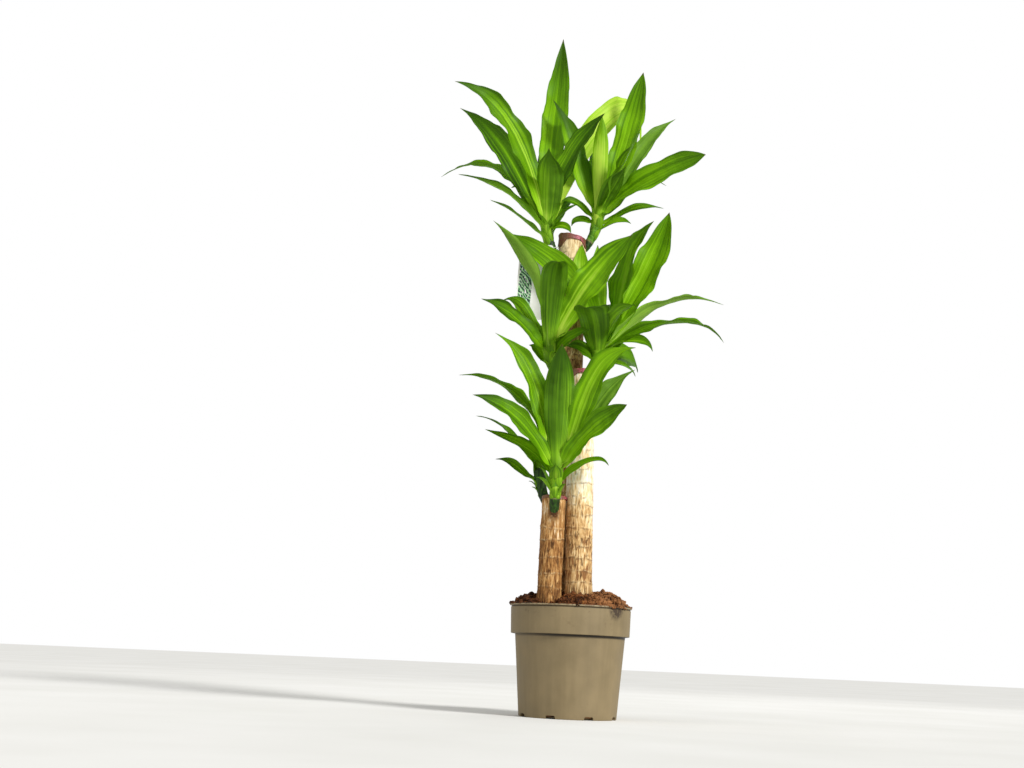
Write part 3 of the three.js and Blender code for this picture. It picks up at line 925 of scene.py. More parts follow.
# ---- pot ----
@dataclass
class Pot:
    """The tapered nursery pot: a thin body, an upper band with a lip, and drain notches."""

    height: float = 170.0
    rim_radius: float = 95.0
    band_height: float = 44.5
    band_foot_radius: float = 92.3
    neck_radius: float = 85.5
    foot_radius: float = 75.5
    wall: float = 2.0
    floor: float = 3.0
    lip: float = 2.4
    lip_reach: float = 1.5
    crevice: float = 1.0
    sides: int = 192
    notches: int = 8
    notch: Point = (14.0, 15.0, 5.0)
    sway: float = 0.25
    finish: PotPlastic = PotPlastic()

    @property
    def band_foot(self) -> float:
        """The height of the upper band's lower edge."""
        return self.height - self.band_height

    def outline(self) -> Array:
        """The section of the pot, from the middle of its underside round to its inner floor."""
        shade_under_lip = self.height - self.lip
        band_wall = self.rim_radius - self.lip_reach
        return rounded([
            (1, 1.2, 0), (self.foot_radius - 6, 1.2, 0), (self.foot_radius - 4.5, 0, 0.6),
            (self.foot_radius, 0, 1.4), (self.neck_radius, self.band_foot - 1, 0.8),
            (self.band_foot_radius, self.band_foot, 1.0), (band_wall, shade_under_lip - 2.2, 0.4),
            (band_wall - self.crevice, shade_under_lip - 1.2, 0.3),
            (band_wall - self.crevice, shade_under_lip, 0.2), (self.rim_radius, shade_under_lip + 0.3, 0.5),
            (self.rim_radius, self.height, 0.9), (band_wall - self.wall, self.height, 0.8),
            (self.band_foot_radius - self.wall, self.band_foot + self.wall, 0.6),
            (self.neck_radius - self.wall, self.band_foot - 1, 0.6),
            (self.foot_radius - self.wall, self.floor, 1.0), (1, self.floor, 0),
        ], longest=4.0)

    def notch_cutter(self, slot: int) -> Skin:
        """The round-cornered block that cuts one drain notch.

        Args:
            slot: the notch's number.

        Returns:
            The block's skin.
        """
        depth, width, height = self.notch
        angle = (slot + 0.5) * TURN / self.notches
        half = width / 2
        arch = [(-half, -2), (half, -2), (half, height - 2), (half - 0.6, height - 0.6),
                (half - 2, height), (2 - half, height), (0.6 - half, height - 0.6),
                (-half, height - 2)]
        rings = np.array([[(self.foot_radius + reach, side, up) for side, up in arch]
                          for reach in (-depth / 2, depth / 2)])
        turn = np.array([(math.cos(angle), math.sin(angle), 0),
                         (-math.sin(angle), math.cos(angle), 0), (0, 0, 1)])
        return tube(rings @ turn)

    def build(self, grain: Grain) -> None:
        """Makes the pot and dresses it.

        Args:
            grain: gives the moulded wall its slight unevenness.
        """
        rings = lathe(self.outline(), self.sides)
        radius = np.hypot(rings[..., 0], rings[..., 1])
        sway = 1 + self.sway * grain.rough(rings, 55.0, 2) * ease(20, 60, radius) / radius
        rings[..., :2] *= sway[..., None]
        skin = carve(tube(rings), [self.notch_cutter(slot) for slot in range(self.notches)])
        make_piece("pot_shell", skin, self.finish.material(), "pot", crease=35.0)


# ---- canes ----
@dataclass
class Cane:
    """A bare sawn cane with ring scars, and the wax on its cut top.

    Attributes:
        name: tall, medium or short.
        foot: where its axis starts in the soil, as x and y.
        top: where its axis ends.
        radius: its mean radius.
        scars: heights above the ground of the rings that fallen leaves left.
        bark: its finish.
        thin_side: the angle, in degrees from +X, where its wax is thin and pink.
        drips: angles and lengths of the wax's runs.
        knots: places where the bark swells, and how dark each is.
        flare_height: how high the foot's flare reaches.
        sunlit_paling: heights between which the bark gets paler, as painted sunlight, and by how
            much.
        wax_skirt: how far the wax comes down the side.
        slant: how much lower the cut is at its right edge than at its middle.
        foot_height: where its axis starts in the soil, as z.
        ridge: how high a ring's raised edge is.
        groove: how deep the groove below it is.
        swell: how far the bark swells above it.
        fissure: how deep the bark's fissures are.
        cut_reach: how far below the top the slant fades out.
        wax_bevel: the rounding of the wax's upper edge.
        first_outer_row: the first of the wax's rows of points that faces outwards.
    """

    name: str
    foot: tuple[float, float]
    top: Point
    radius: float
    scars: tuple[float, ...]
    bark: CaneBark
    thin_side: float
    drips: tuple[tuple[float, float], ...]
    knots: tuple[tuple[float, float, float, float], ...]
    flare_height: float
    sunlit_paling: Point
    wax_skirt: float
    slant: float = 0.0
    foot_height: float = 70.0
    sides: int = 132
    ring_step: float = 1.15
    ridge: float = 0.55
    groove: float = 0.35
    swell: float = 0.45
    fissure: float = 0.5
    cut_reach: float = 16.0
    wax: SealingWax = SealingWax()
    wax_thickness: float = 1.2
    wax_bevel: float = 1.6
    wax_dent: float = 0.55
    wax_dome: float = 1.4
    first_outer_row: int = 9

    @property
    def foot_point(self) -> Vector:
        """The lower end of the axis."""
        return Vector((*self.foot, self.foot_height))

    @property
    def length(self) -> float:
        """The length of the axis."""
        return (Vector(self.top) - self.foot_point).length

    def stand(self, rings: Array) -> Array:
        """Rings about Z, stood on the foot and leant along the cane."""
        return lean(rings, self.foot_point, Vector(self.top))

    def cut(self, height: Array, angle: Array, share: Number = 1.0) -> Array:
        """Heights along the cane, moved near the top for a share of the slanting cut."""
        near = ease(self.length - self.cut_reach, self.length, height)
        return height - self.slant * np.cos(angle) * share * near

    def rings_left(self, grain: Grain, spot: Array, height: Array,
                   angle: Array) -> tuple[Array, Array, Array, Array]:
        """The rings that fallen leaves left, each wavy and partly worn away.

        Args:
            grain: gives them their waves and their wear.
            spot: places on the bark, for the grain.
            height: heights along the cane.
            angle: angles round it.

        Returns:
            How far they raise the bark, the marks scar and crease, and how many rings are below.
        """
        relief, scar, crease, below = (np.zeros(spot.shape[:2]) for _ in range(4))
        for number, level in enumerate(self.scars):
            seed = self.radius + number
            wobble = 1.3 * grain.at(spot + (seed, 0, 0), (0.5, 0.5, 9)) \
                + 0.7 * grain.at(spot + (seed, 3, 0), (0.14, 0.14, 9)) \
                + 2.0 * np.sin(angle + 6 * chance(seed))
            gap = height - (level - self.foot_height) - wobble
            worn = ease(-0.5, 0.35, grain.at(spot + (0, seed, 3), (0.25, 0.25, 9)))
            ridge = hump(0, 1.1, gap) * (0.3 + 0.7 * worn)
            groove = hump(-1.9, 1.0, gap) * worn
            relief += self.ridge * ridge - self.groove * groove + self.swell * hump(3, 9, gap)
            scar = np.maximum(scar, ridge)
            crease = np.maximum(crease, groove * 0.62)
            below += gap > 0
        return relief, scar, crease, below

    def bark_skin(self, grain: Grain) -> Skin:
        """The cane with its scars, fissures and flared foot.

        Args:
            grain: gives the bark its unevenness.

        Returns:
            The skin with the marks scar, crease and tone.
        """
        height = np.linspace(0, self.length, int(self.length / self.ring_step))[:, None]
        angle = circle(self.sides)[None]
        spot = around(1.0, angle, height / 60) + (self.radius, 0, 0)
        relief, scar, crease, below = self.rings_left(grain, spot, height, angle)
        radius = self.radius * (1 + 0.022 * grain.at(spot, (0.9, 0.9, 1.1))) \
            + 0.35 * grain.rough(spot, (0.16, 0.16, 0.35), 3) \
            + 0.22 * grain.rough(spot * (1, 1, 6), (0.05, 0.05, 0.3), 2) + relief
        tone_and_sunlight = 0.45 * np.modf(np.abs(np.sin(below * 12.9898 + self.radius) * 43.7585))[0]
        # Painted sunlight: the bark gets paler above these heights, towards the top of the cane.
        low, high, paler = self.sunlit_paling
        tone_and_sunlight += paler * ease(low, high, height + self.foot_height
                             + 12 * grain.at(spot, (0.5, 0.5, 0.6)))
        flare = ease(22, 0, height - (self.flare_height - self.foot_height))
        splits = np.abs(grain.at(spot * (1, 1, 2), (0.11, 0.11, 3)))
        fissure = ease(0.72, 0.9, np.abs(grain.at(spot + (0, 5, 9), (0.11, 0.11, 0.22))))
        radius += flare * (0.9 + 1.8 * splits) - self.fissure * fissure
        for dark in (0.8 * flare * ease(0.25, 0.02, splits), 0.75 * fissure):
            crease = np.maximum(crease, dark)
        radius *= ease(-1.5, 1.5, self.length - height) * 0.03 + 0.97
        rings = self.stand(around(radius, angle, self.cut(height, angle)))
        axis = self.stand(around(0 * radius, angle, height))
        for *knot, dark in self.knots:
            near = hump(0, 5.0 + 4.0 * dark, np.linalg.norm((rings - knot) * (1, 1, 0.8), axis=-1))
            rings += 1.5 * near[..., None] * unit(rings - axis)
            crease = np.maximum(crease, dark * near)
        return tube(rings, {"scar": scar * 0.45, "crease": crease, "tone_and_sunlight": tone_and_sunlight})

    def wax_rows(self, angle: Array) -> list[tuple[Number, Number]]:
        """The wax's outline, from the cut up its inside, round its edge and over its top.

        Args:
            angle: angles round the cane.

        Returns:
            A radius and a height for each row, one number or one for each angle.
        """
        inner, outer = self.radius + GAP, self.radius + GAP + self.wax_thickness
        seat, top = self.length + GAP, self.length + GAP + self.wax_thickness
        bevel = self.wax_bevel
        skirt = self.wax_skirt + 0.9 * np.sin(3 * angle + self.radius)
        for degrees, run in self.drips:
            skirt = skirt + run * hump(0, 0.24, apart(angle, degrees))
        foot = self.length - skirt
        runs = ease(self.wax_skirt, self.wax_skirt + 4, skirt)
        bead = 0.5 * self.wax_thickness + 0.25
        rows: list[tuple[Number, Number]] = [(0.08 * inner, seat), (inner - 0.4, seat)]
        rows += [(inner, mix(self.length - 0.6, foot, share)) for share in np.linspace(0, 1, 5)]
        rows += [(inner + bead * (1 + math.sin(turn)) * (1 + 0.3 * runs),
                  foot - 0.9 * math.cos(turn) * (0.5 + runs)) for turn in np.linspace(-1.2, 1.2, 7)]
        rows += [(outer + 0.35 * hump(0.1, 0.12, share), mix(foot, top - bevel, share))
                 for share in np.linspace(0.12, 1, 12)]
        rows += [(outer - bevel + bevel * math.cos(turn), top - bevel + bevel * math.sin(turn))
                 for turn in np.linspace(0.2, math.pi / 2, 6)]
        rows += [((outer - bevel) * share, top) for share in (0.85, 0.65, 0.45, 0.25, 0.08)]
        return rows

    def wax_skin(self, grain: Grain) -> Skin:
        """The wax cap, a closed shell round the cane's cut top.

        Args:
            grain: gives the wax its unevenness.

        Returns:
            The skin with the marks thin and stain.
        """
        angle = circle(self.sides)
        radius, height = profile(self.wax_rows(angle), self.sides)
        top = self.length + GAP + self.wax_thickness
        outer = self.radius + GAP + self.wax_thickness
        outside = np.arange(len(radius))[:, None] >= self.first_outer_row
        spot = around(radius, angle, height) + self.radius
        dent = self.wax_dent * grain.rough(spot, 8.0, 3) * outside
        radius = radius + dent * (height < top - 1.4)
        dome = self.wax_dome * (1 - (radius / outer) ** 2) * (height > top - 0.3)
        height = height + (1.6 * dent + dome) * (height >= top - 1.4)
        thin = hump(0, 0.6, apart(angle, self.thin_side))[None] + 0 * height
        height = self.cut(height, angle, np.minimum(radius / self.radius, 1))
        return tube(self.stand(around(radius, angle, height)), {"thin": thin, "stain": 1 - thin})

    def build(self, grain: Grain) -> None:
        """Makes the cane and its wax and dresses both.

        Args:
            grain: gives both their unevenness.
        """
        make_piece(f"cane_{self.name}_bark", self.bark_skin(grain), self.bark.material(),
                   f"cane_{self.name}", crease=75.0)
        make_piece(f"wax_{self.name}_cap", self.wax_skin(grain), self.wax.material(),
                   f"wax_{self.name}", crease=60.0)


# ---- soil ----
@dataclass
class Soil:
    """The mounded potting mix, with crumbs and coir strands lying on it.

    Attributes:
        fall: how late the mound falls off towards its edge.
        spread: the radius at which it has fallen to the height of its edge.
        dip: a hollow's place, right and back, and its depth.
        dip_spread: the hollow's half width and half length.
        rough: the height of its waves.
        neck: the radius and height at the foot of the pot's band.
        foot: the radius and height on the pot's floor.
        heap: a rise's place, right and back, its half width and half length, and its height.
        spilled: crumbs on the pot's lip: how many, between which degrees, and their sizes.
        stuck: crumbs on the lip's side: how many, about which angle, and how far spread.
        hole_gap: how much wider than its cane a hole is.
    """

    top: float = 169.0
    mound: float = 19.0
    fall: float = 4.5
    spread: float = 93.0
    dip: Point = (-38.0, -68.0, 16.0)
    dip_spread: tuple[float, float] = (30.0, 38.0)
    rough: float = 3.4
    edge_radius: float = 91.4
    neck: tuple[float, float] = (83.0, 126.0)
    foot: tuple[float, float] = (73.0, 3.4)
    rings: int = 64
    sides: int = 260
    heap: tuple[float, float, float, float, float] = (56.0, -8.0, 24.0, 45.0, 5.0)
    crumbs: int = 1500
    strands: int = 130
    strand_points: int = 7
    strand_sides: int = 5
    spilled: tuple[tuple[int, float, float, float, float], ...] = (
        (130, -62, 212, 0.6, 1.9), (46, 156, 214, 1.2, 2.9))
    stuck: tuple[tuple[int, float, float], ...] = ((28, -44, 5), (5, -87, 1.2))
    hole_gap: float = 1.2
    crumble: float = 1.7
    lumpiness: float = 1.3
    seed: int = 11
    finish: PottingMix = PottingMix()

    def height(self, x: Number, y: Number) -> Number:
        """The height of the mound at places.

        Args:
            x: coordinates along X.
            y: coordinates along Y.

        Returns:
            The heights.
        """
        reach = np.hypot(x, y) / self.spread
        ripples = np.sin(x * 0.31 + 1.3) * np.cos(y * 0.27 - 0.4)
        swells = 0.8 * np.sin(x * 0.13 - y * 0.17)
        right, back, depth = self.dip
        dip = depth * hump(right, self.dip_spread[0], x) * hump(back, self.dip_spread[1], y)
        right, back, width, length, rise = self.heap
        heap = rise * hump(right, width, x) * hump(back, length, y)
        return self.top + self.mound * (1 - reach ** self.fall) - dip + heap \
            + self.rough / 2 * (ripples + swells)

    def mound_skin(self, grain: Grain, canes: list[Cane]) -> Skin:
        """The body of the mix, which fills the pot, with a hole for each cane.

        Args:
            grain: gives the surface its crumbs.
            canes: the canes that stand in it.

        Returns:
            The skin.
        """
        angle = circle(self.sides)
        rows = [self.foot, self.neck, (self.edge_radius, self.top - 4)]
        for ring in range(self.rings):
            radius = self.edge_radius * (1 - ring / self.rings)
            spot = around(radius, angle, 0)
            crumble = self.crumble * np.abs(grain.rough(spot, 7.0, 4)) \
                + self.lumpiness * grain.at(spot, 15.0)
            rows.append((radius, self.height(spot[:, 0], spot[:, 1]) + crumble - 1.2))
        radius, height = profile(rows, self.sides)
        return carve(tube(around(radius, angle, height)), [self.hole(cane) for cane in canes])

    def hole(self, cane: Cane) -> Skin:
        """The plain round hole for a cane's foot."""
        radius = cane.radius + self.hole_gap
        return tube(cane.stand(lathe(np.array([(radius, -1.0), (radius, 190.0)]), sides=48)))

    def ball(self) -> Skin:
        """A coarse ball of radius 1."""
        shape = bmesh.new()
        bmesh.ops.create_icosphere(shape, subdivisions=2, radius=1.0)
        points = np.array([tuple(vertex.co) for vertex in shape.verts])
        faces = [tuple(vertex.index for vertex in face.verts) for face in shape.faces]
        shape.free()
        return Skin(points, faces)

    def lump(self, draw: np.random.Generator, ball: Skin, place: Array, size: float) -> Skin:
        """One crumb: a dented ball, squashed and turned at random.

        Args:
            draw: where the random numbers come from.
            ball: a ball of radius 1.
            place: the crumb's middle.
            size: its mean radius.

        Returns:
            The skin with the mark fibre.
        """
        stretch = draw.uniform(0.6, 1.35, 3)
        turn = Euler(draw.uniform(0, 6.3, 3)).to_matrix()
        dented = ball.points * (1 + draw.uniform(-0.22, 0.22, (len(ball.points), 1)))
        points = moved(dented * stretch, turn, (0, 0, 0)) * size + place
        pale = 0.6 if draw.random() < 0.05 else 0.0
        return Skin(points, ball.faces, {"fibre": np.full(len(points), pale)})

    def strewn(self, draw: np.random.Generator, ball: Skin, canes: list[Cane]) -> Iterator[Skin]:
        """The crumbs that lie on the mound, clear of the canes.

        Args:
            draw: where the random numbers come from.
            ball: a ball of radius 1.
            canes: the canes.

        Yields:
            Each crumb's skin.
        """
        for _ in range(self.crumbs):
            angle = draw.uniform(0, TURN)
            reach = (self.edge_radius - 2) * math.sqrt(draw.uniform(0, 1))
            size = 0.8 + 2.9 * draw.random() ** 3
            place = around(reach, angle, 0.35 * size)
            if all(math.dist(place[:2], cane.foot) >= cane.radius for cane in canes):
                yield self.lump(draw, ball, place + (0, 0, self.height(*place[:2])), size)

    def on_lip(self, draw: np.random.Generator, ball: Skin, pot: Pot) -> Iterator[Skin]:
        """The crumbs that lie on the pot's lip and stick to its side.

        Args:
            draw: where the random numbers come from.
            ball: a ball of radius 1.
            pot: the pot.

        Yields:
            Each crumb's skin.
        """
        for count, start, end, small, large in self.spilled:
            for _ in range(count):
                angle, size = math.radians(draw.uniform(start, end)), draw.uniform(small, large)
                reach = pot.rim_radius - draw.uniform(0.6, 3.6)
                yield self.lump(draw, ball, around(reach, angle, pot.height + 0.5 * size), size)
        for count, middle, spread in self.stuck:
            for _ in range(count):
                angle, drop = math.radians(draw.normal(middle, spread)), draw.uniform(0, pot.lip)
                size = draw.uniform(0.7, 1.6)
                place = around(pot.rim_radius + 0.2 * size, angle, pot.height - drop)
                yield self.lump(draw, ball, place, size)

    def strand(self, draw: np.random.Generator) -> Skin:
        """One thin curved strand that lies on the mound.

        Args:
            draw: where the random numbers come from.

        Returns:
            The skin with the mark fibre.
        """
        start = draw.uniform(0, TURN)
        reach = (self.edge_radius - 4) * math.sqrt(draw.uniform(0.08, 1))
        heading, bend = draw.uniform(0, TURN), draw.uniform(-0.09, 0.09)
        length, thickness = draw.uniform(7, 24), draw.uniform(0.22, 0.42)
        steps = self.strand_points - 1
        step = length / steps
        x, y = reach * math.cos(start), reach * math.sin(start)
        spine = []
        for number in range(self.strand_points):
            lift = 0.7 + 1.6 * math.sin(math.pi * number / steps) * abs(math.sin(length))
            inside = min(1.0, (self.edge_radius - 1) / max(1.0, math.hypot(x, y)))
            x, y = x * inside, y * inside
            spine.append((x, y, float(self.height(x, y)) + lift))
            x, y = x + step * math.cos(heading), y + step * math.sin(heading)
            heading += bend * step
        line = np.array(spine)
        along = headings(line)
        across = unit(np.cross(along, (0, 0, 1)))
        angle = -circle(self.strand_sides)[None]
        rings = beside(line, across, np.cross(across, along), thickness * np.cos(angle),
                       thickness * np.sin(angle))
        return tube(rings, {"fibre": np.ones(rings.shape[:2])})

    def build(self, grain: Grain, canes: list[Cane], pot: Pot) -> None:
        """Makes the mound with its crumbs and strands and dresses it.

        Args:
            grain: gives the surface its crumbs.
            canes: the canes that stand in it.
            pot: the pot, on whose lip a few crumbs lie.
        """
        draw, ball = np.random.default_rng(self.seed), self.ball()
        body = self.mound_skin(grain, canes)
        body.marks["fibre"] = np.zeros(len(body.points))
        skins = [body, *self.strewn(draw, ball, canes), *self.on_lip(draw, ball, pot),
                 *(self.strand(draw) for _ in range(self.strands))]
        make_piece("soil_mound", join(skins), self.finish.material(), "soil", crease=50.0)


# ---- shoots ----
@dataclass(frozen=True)
class Look:
    """How a leaf is coloured.

    Attributes:
        light: from 0, deep green, to 1, yellow-green.
        stripe: how much lighter its stripe is.
        centre: where the stripe runs, from -1 at the left edge to 1 at the right.
        spread: the stripe's half width.
        tip: how much lighter the tip is.
        under: how pale the lower face is, from 0 to 1.
        bloom: how pale and dull the upper face is, from 0 to 1.
        root: how much lighter the root is.
    """

    light: float
    stripe: float
    centre: float = 0.0
    spread: float = 0.35
    tip: float = -0.2
    under: float = 0.2
    bloom: float = 0.0
    root: float = 0.3


class Tint(Enum):
    """The looks that the leaves of this plant have."""

    PLAIN = Look(0.42, 0.15)
    DEEP = Look(0.24, 0.12)
    SHADED = Look(0.4, 0.18, 0.1, 0.45, -0.38)
    STRIPED = Look(0.28, 0.38, 0.0, 0.55)
    RIGHT = Look(0.26, 0.4, -0.4, 0.5)
    LEFT = Look(0.24, 0.42, 0.5, 0.5)
    MIDLINE = Look(0.14, 0.3, 0.0, 0.1)
    # Painted light: a blade lit through from behind, lighter all over.
    BACKLIT = Look(0.66, 0.14, 0.1, 0.6, -0.1)
    SUNNY = Look(0.46, 0.42, 0.3, 0.5, -0.1)
    GLOWING = Look(0.88, 0.12, 0.0, 0.8, -0.1, 0.4)
    WARM = Look(0.44, 0.24, 0.0, 0.6)
    DULL = Look(0.36, 0.06, 0.0, 0.5, -0.1, 0.6, 0.7)
    VIVID = Look(0.4, 0.22, 0.1, 0.45, 0.08, root=0.75)
    SPEAR = Look(0.85, 0.2, 0.0, 0.4, -0.35, 0.05)
    PALE = Look(0.5, 0.15, 0.0, 0.5, -0.2, 0.75, 0.35)


@dataclass(frozen=True)
class Leaf:
    """One leaf of a shoot.

    Attributes:
        tip: its tip from the crown as right, back and up.
        low: how far down the stem its root is.
        leave: the midrib's slope at the root, in degrees.
        arrive: the midrib's slope at the tip.
        width: its greatest width.
        roll: the turn of the blade about its midrib.
        tint: its colouring.
        twist: what is added to the roll from root to tip.
        arch: lengthens the midrib's bow.
        broadest: how far along it is broadest.
    """

    tip: Point
    low: float
    leave: float
    arrive: float
    width: float
    roll: float
    tint: Tint = Tint.PLAIN
    twist: float = 0.0
    arch: float = 1.0
    broadest: float = 0.46


@dataclass
class Shoot:
    """A leafy shoot: a green stem that leaves a cane at its foot, with leaves round its crown.

    Attributes:
        crown: where the leaves spread from, near the stem's top.
        bow: how far the midrib's ends pull on it, as a share of its length.
        channel: half the angle over which the blade is curved across, in radians.
        crowding: under 1, the points of a row crowd towards the edges.
        blunt: leaves that are broadest further along than this keep a blunt tip.
        taper: how late the blade narrows towards its tip.
        tip_draw: how far the tip is drawn out.
        wave_lag: how far the left edge's waves lag, in radians.
        above: how far the stem goes on above the crown.
        hold: how far along a blade clasps the stem.
        wrap: how far its base goes round the stem.
        sheath: how far below its root its sheath starts.
        full_sheath_width: narrower leaves than this have a shorter sheath.
        full_frill_width: narrower leaves than this have lower frills.
    """

    name: str
    foot: Point
    crown: Point
    leaves: list[Leaf]
    blade_rows: int = 60
    blade_columns: int = 17
    blade_thickness: float = 0.85
    bow: float = 0.36
    fold: float = 0.3
    channel: float = 0.55
    crowding: float = 0.9
    root_share: float = 0.3
    blunt: float = 0.49
    taper: float = 2.5
    tip_share: float = 0.012
    tip_draw: float = 0.5
    wave_length: float = 75.0
    wave_share: float = 0.1
    wave_lag: float = 2.1
    frill_length: float = 27.0
    frill: float = 1.1
    pleat: float = 0.16
    pleats: int = 9
    stem_rows: int = 90
    stem_sides: int = 40
    stem_steps: int = 201
    foot_radius: float = 6.4
    crown_radius: float = 10.0
    bend: float = 0.45
    above: float = 5.0
    root_offset: float = 4.5
    ring_step: float = 8.5
    knob: float = 18.0
    hold: float = 26.0
    wrap: float = 1.3
    sheath: float = 16.0
    sheath_rows: int = 7
    full_sheath_width: float = 30.0
    full_frill_width: float = 40.0
    dent: float = 0.9
    ring_height: float = 0.45
    ring_slant: float = 1.4
    knob_height: float = 0.7
    stem_dent: float = 0.35

    def stem_line(self, shares: Array) -> Array:
        """Points of the stem's middle line.

        Args:
            shares: the curve's own numbers, 0 at the foot and 1 just above the crown.

        Returns:
            One point for each share.
        """
        foot, crown = np.array(self.foot, float), np.array(self.crown, float)
        bend = np.array([crown[0], crown[1], mix(foot[2], crown[2], self.bend)])
        top = crown + (0, 0, self.above)
        part = np.asarray(shares, float)[..., None]
        return (1 - part) ** 2 * foot + 2 * part * (1 - part) * bend + part ** 2 * top

    def stem_run(self) -> tuple[Array, Array]:
        """Shares of the stem's curve, and how far up the stem each lies."""
        shares = np.linspace(0, 1, self.stem_steps)
        return shares, distances(self.stem_line(shares))

    def stem_place(self, below_crown: Array) -> Array:
        """Points on the stem's middle line, or in line with it above its top.

        Args:
            below_crown: how far below the crown they lie.

        Returns:
            One point for each distance.
        """
        shares, run = self.stem_run()
        wanted = run[-1] - self.above - np.asarray(below_crown, float)
        ends = self.stem_line(np.array([0.98, 1.0]))
        past = np.maximum(wanted - run[-1], 0)[..., None] * unit(ends[1] - ends[0])
        return self.stem_line(np.interp(wanted, run, shares)) + past

    def stem_radius(self, share: Array) -> Array:
        """The stem's radius at a share of its height."""
        return mix(self.foot_radius, self.crown_radius, np.clip(share, 0, 1) ** 1.2)

    def midrib(self, leaf: Leaf, shares: Array) -> tuple[Array, Array]:
        """A leaf's midrib, from its root on the stem to its tip.

        Args:
            leaf: the leaf.
            shares: the curve's own numbers, 0 at the root and 1 at the tip.

        Returns:
            Its points, and the way the leaf heads.
        """
        tip = np.array(self.crown, float) + leaf.tip
        root = self.stem_place(leaf.low)
        heading = unit((tip - root) * (1, 1, 0))
        root = root + heading * self.root_offset
        handle = self.bow * leaf.arch * np.linalg.norm(tip - root)
        leave, arrive = (handle * (heading * math.cos(slope) + np.array((0, 0, math.sin(slope))))
                         for slope in map(math.radians, (leaf.leave, leaf.arrive)))
        part = shares[:, None]
        left = 1 - part
        line = left ** 3 * root + 3 * left ** 2 * part * (root + leave) \
            + 3 * left * part ** 2 * (tip - arrive) + part ** 3 * tip
        return line, heading

    def half_width(self, leaf: Leaf, share: Array) -> Array:
        """Half the blade's width: narrow at the stem, broad, then pointed.

        Args:
            leaf: the leaf.
            share: shares of its length.

        Returns:
            The half width at each share.
        """
        swell = np.sin(np.minimum(share / leaf.broadest, 1) * math.pi / 2)
        rising = mix(self.root_share, 1, swell)
        left = np.maximum(share - leaf.broadest, 0) / (1 - leaf.broadest)
        falling = np.maximum(self.tip_share, 1 - left ** self.taper)
        if leaf.broadest < self.blunt:
            falling = falling * (1 - self.tip_draw * ease(0.55, 0.95, left))
        return leaf.width / 2 * np.where(share < leaf.broadest, rising, falling)

    def blade(self, leaf: Leaf, number: int, grain: Grain) -> Skin:
        """One leaf: a thin channelled blade with waved edges, thickest along its midrib.

        Args:
            leaf: the leaf.
            number: its place in the shoot.
            grain: gives it its slight unevenness.

        Returns:
            The skin with the marks that its finish reads.
        """
        share = np.linspace(0, 1, self.blade_rows)
        line, heading = self.midrib(leaf, share)
        length = distances(line)[-1]
        sheath = self.sheath * min(1, leaf.width / self.full_sheath_width)
        run = np.concatenate([np.linspace(-sheath, 0, self.sheath_rows, endpoint=False),
                              share * length])
        share = run / length
        line = np.concatenate([np.repeat(line[:1], self.sheath_rows, axis=0), line])
        clasp = ease(min(self.hold, 0.3 * length), 0, run)
        stem_height = self.stem_run()[1][-1]
        thick_stem = self.stem_radius(1 - (self.above + leaf.low - run) / stem_height)
        stem = self.stem_place(leaf.low - run)
        stem_way = headings(stem)
        outward = unit(heading - stem_way * (stem_way @ heading)[:, None])
        reach = thick_stem + 0.1 + 0.3 * ease(-sheath, 0, run)
        line = mix(line, stem + outward * reach[:, None], clasp[:, None])
        along = headings(line)
        side = np.array((-heading[1], heading[0], 0.0))
        across = unit(side - along * (along @ side)[:, None])
        up = np.cross(along, across)
        turn = (np.radians(leaf.roll + leaf.twist * share) * (1 - clasp))[:, None]
        across, up = across * np.cos(turn) + up * np.sin(turn), \
            up * np.cos(turn) - across * np.sin(turn)
        base = np.minimum(self.wrap * thick_stem, 0.48 * leaf.width) \
            * mix(0.35, 1, ease(-sheath, -0.2 * sheath, run))
        share, clasp, thick_stem = share[:, None], clasp[:, None], thick_stem[:, None]
        part = np.clip(share, 0, 1)
        half = mix(self.half_width(leaf, part), base[:, None], clasp ** 1.5)
        edge = np.linspace(-1, 1, self.blade_columns)[None]
        edge = np.sign(edge) * np.abs(edge) ** self.crowding
        arc = mix(self.channel, half / thick_stem, clasp)
        rise = half * (1 - np.cos(arc * edge)) / arc * mix(self.channel, 1.0, clasp) \
            + 0.5 * self.fold * half * np.sqrt(edge ** 2 + 0.01) * (1 - clasp) \
            + self.ripples(leaf, number, grain, half, edge, share, length) * (1 - clasp)
        top = beside(line, across, up, half * np.sin(arc * edge) / arc, rise)
        rim = np.minimum(ease(-sheath, 3 - sheath, run)[:, None], np.minimum((1 - share) * 35, 1))
        thick = self.blade_thickness * rim * (1 - 0.75 * np.abs(edge) ** 3)
        normal = np.cross(np.gradient(top, axis=0), np.gradient(top, axis=1))
        bottom = top - unit(normal) * thick[..., None]
        return self.closed_blade(leaf, number, top, bottom, share, edge)

    def ripples(self, leaf: Leaf, number: int, grain: Grain, half: Array, edge: Array,
                share: Array, length: float) -> Array:
        """How far waves, frills, dents and pleats lift a blade where it is clear of the stem.

        Args:
            leaf: the leaf.
            number: its place in the shoot.
            grain: gives it its dents.
            half: each row's half width.
            edge: each column's place across, from -1 to 1.
            share: each row's share of the length.
            length: the blade's length.

        Returns:
            The lift as rows and columns.
        """
        phase = TURN * chance(leaf.tip[0] * 0.37 + leaf.tip[2] * 0.71)
        turns, lag = TURN * length * share, np.where(edge < 0, self.wave_lag, 0)
        waves = self.wave_share * leaf.width * edge ** 2 \
            * np.sin(turns / self.wave_length + phase + lag)
        frills = self.frill * min(1, (leaf.width / self.full_frill_width) ** 2) \
            * np.abs(edge) ** 3 * np.sin(turns / self.frill_length + 3 * lag + phase)
        spot = np.stack(np.broadcast_arrays(edge * 2, turns / 40, number * 9.7), axis=-1)
        fine = self.dent * grain.at(spot, (0.9, 1.5, 1.0)) \
            + self.pleat * np.cos(edge * self.pleats * math.pi)
        belly = np.sin(math.pi * np.clip(share, 0, 1))
        return belly * (waves + frills) + np.minimum(1, half / 15) * fine

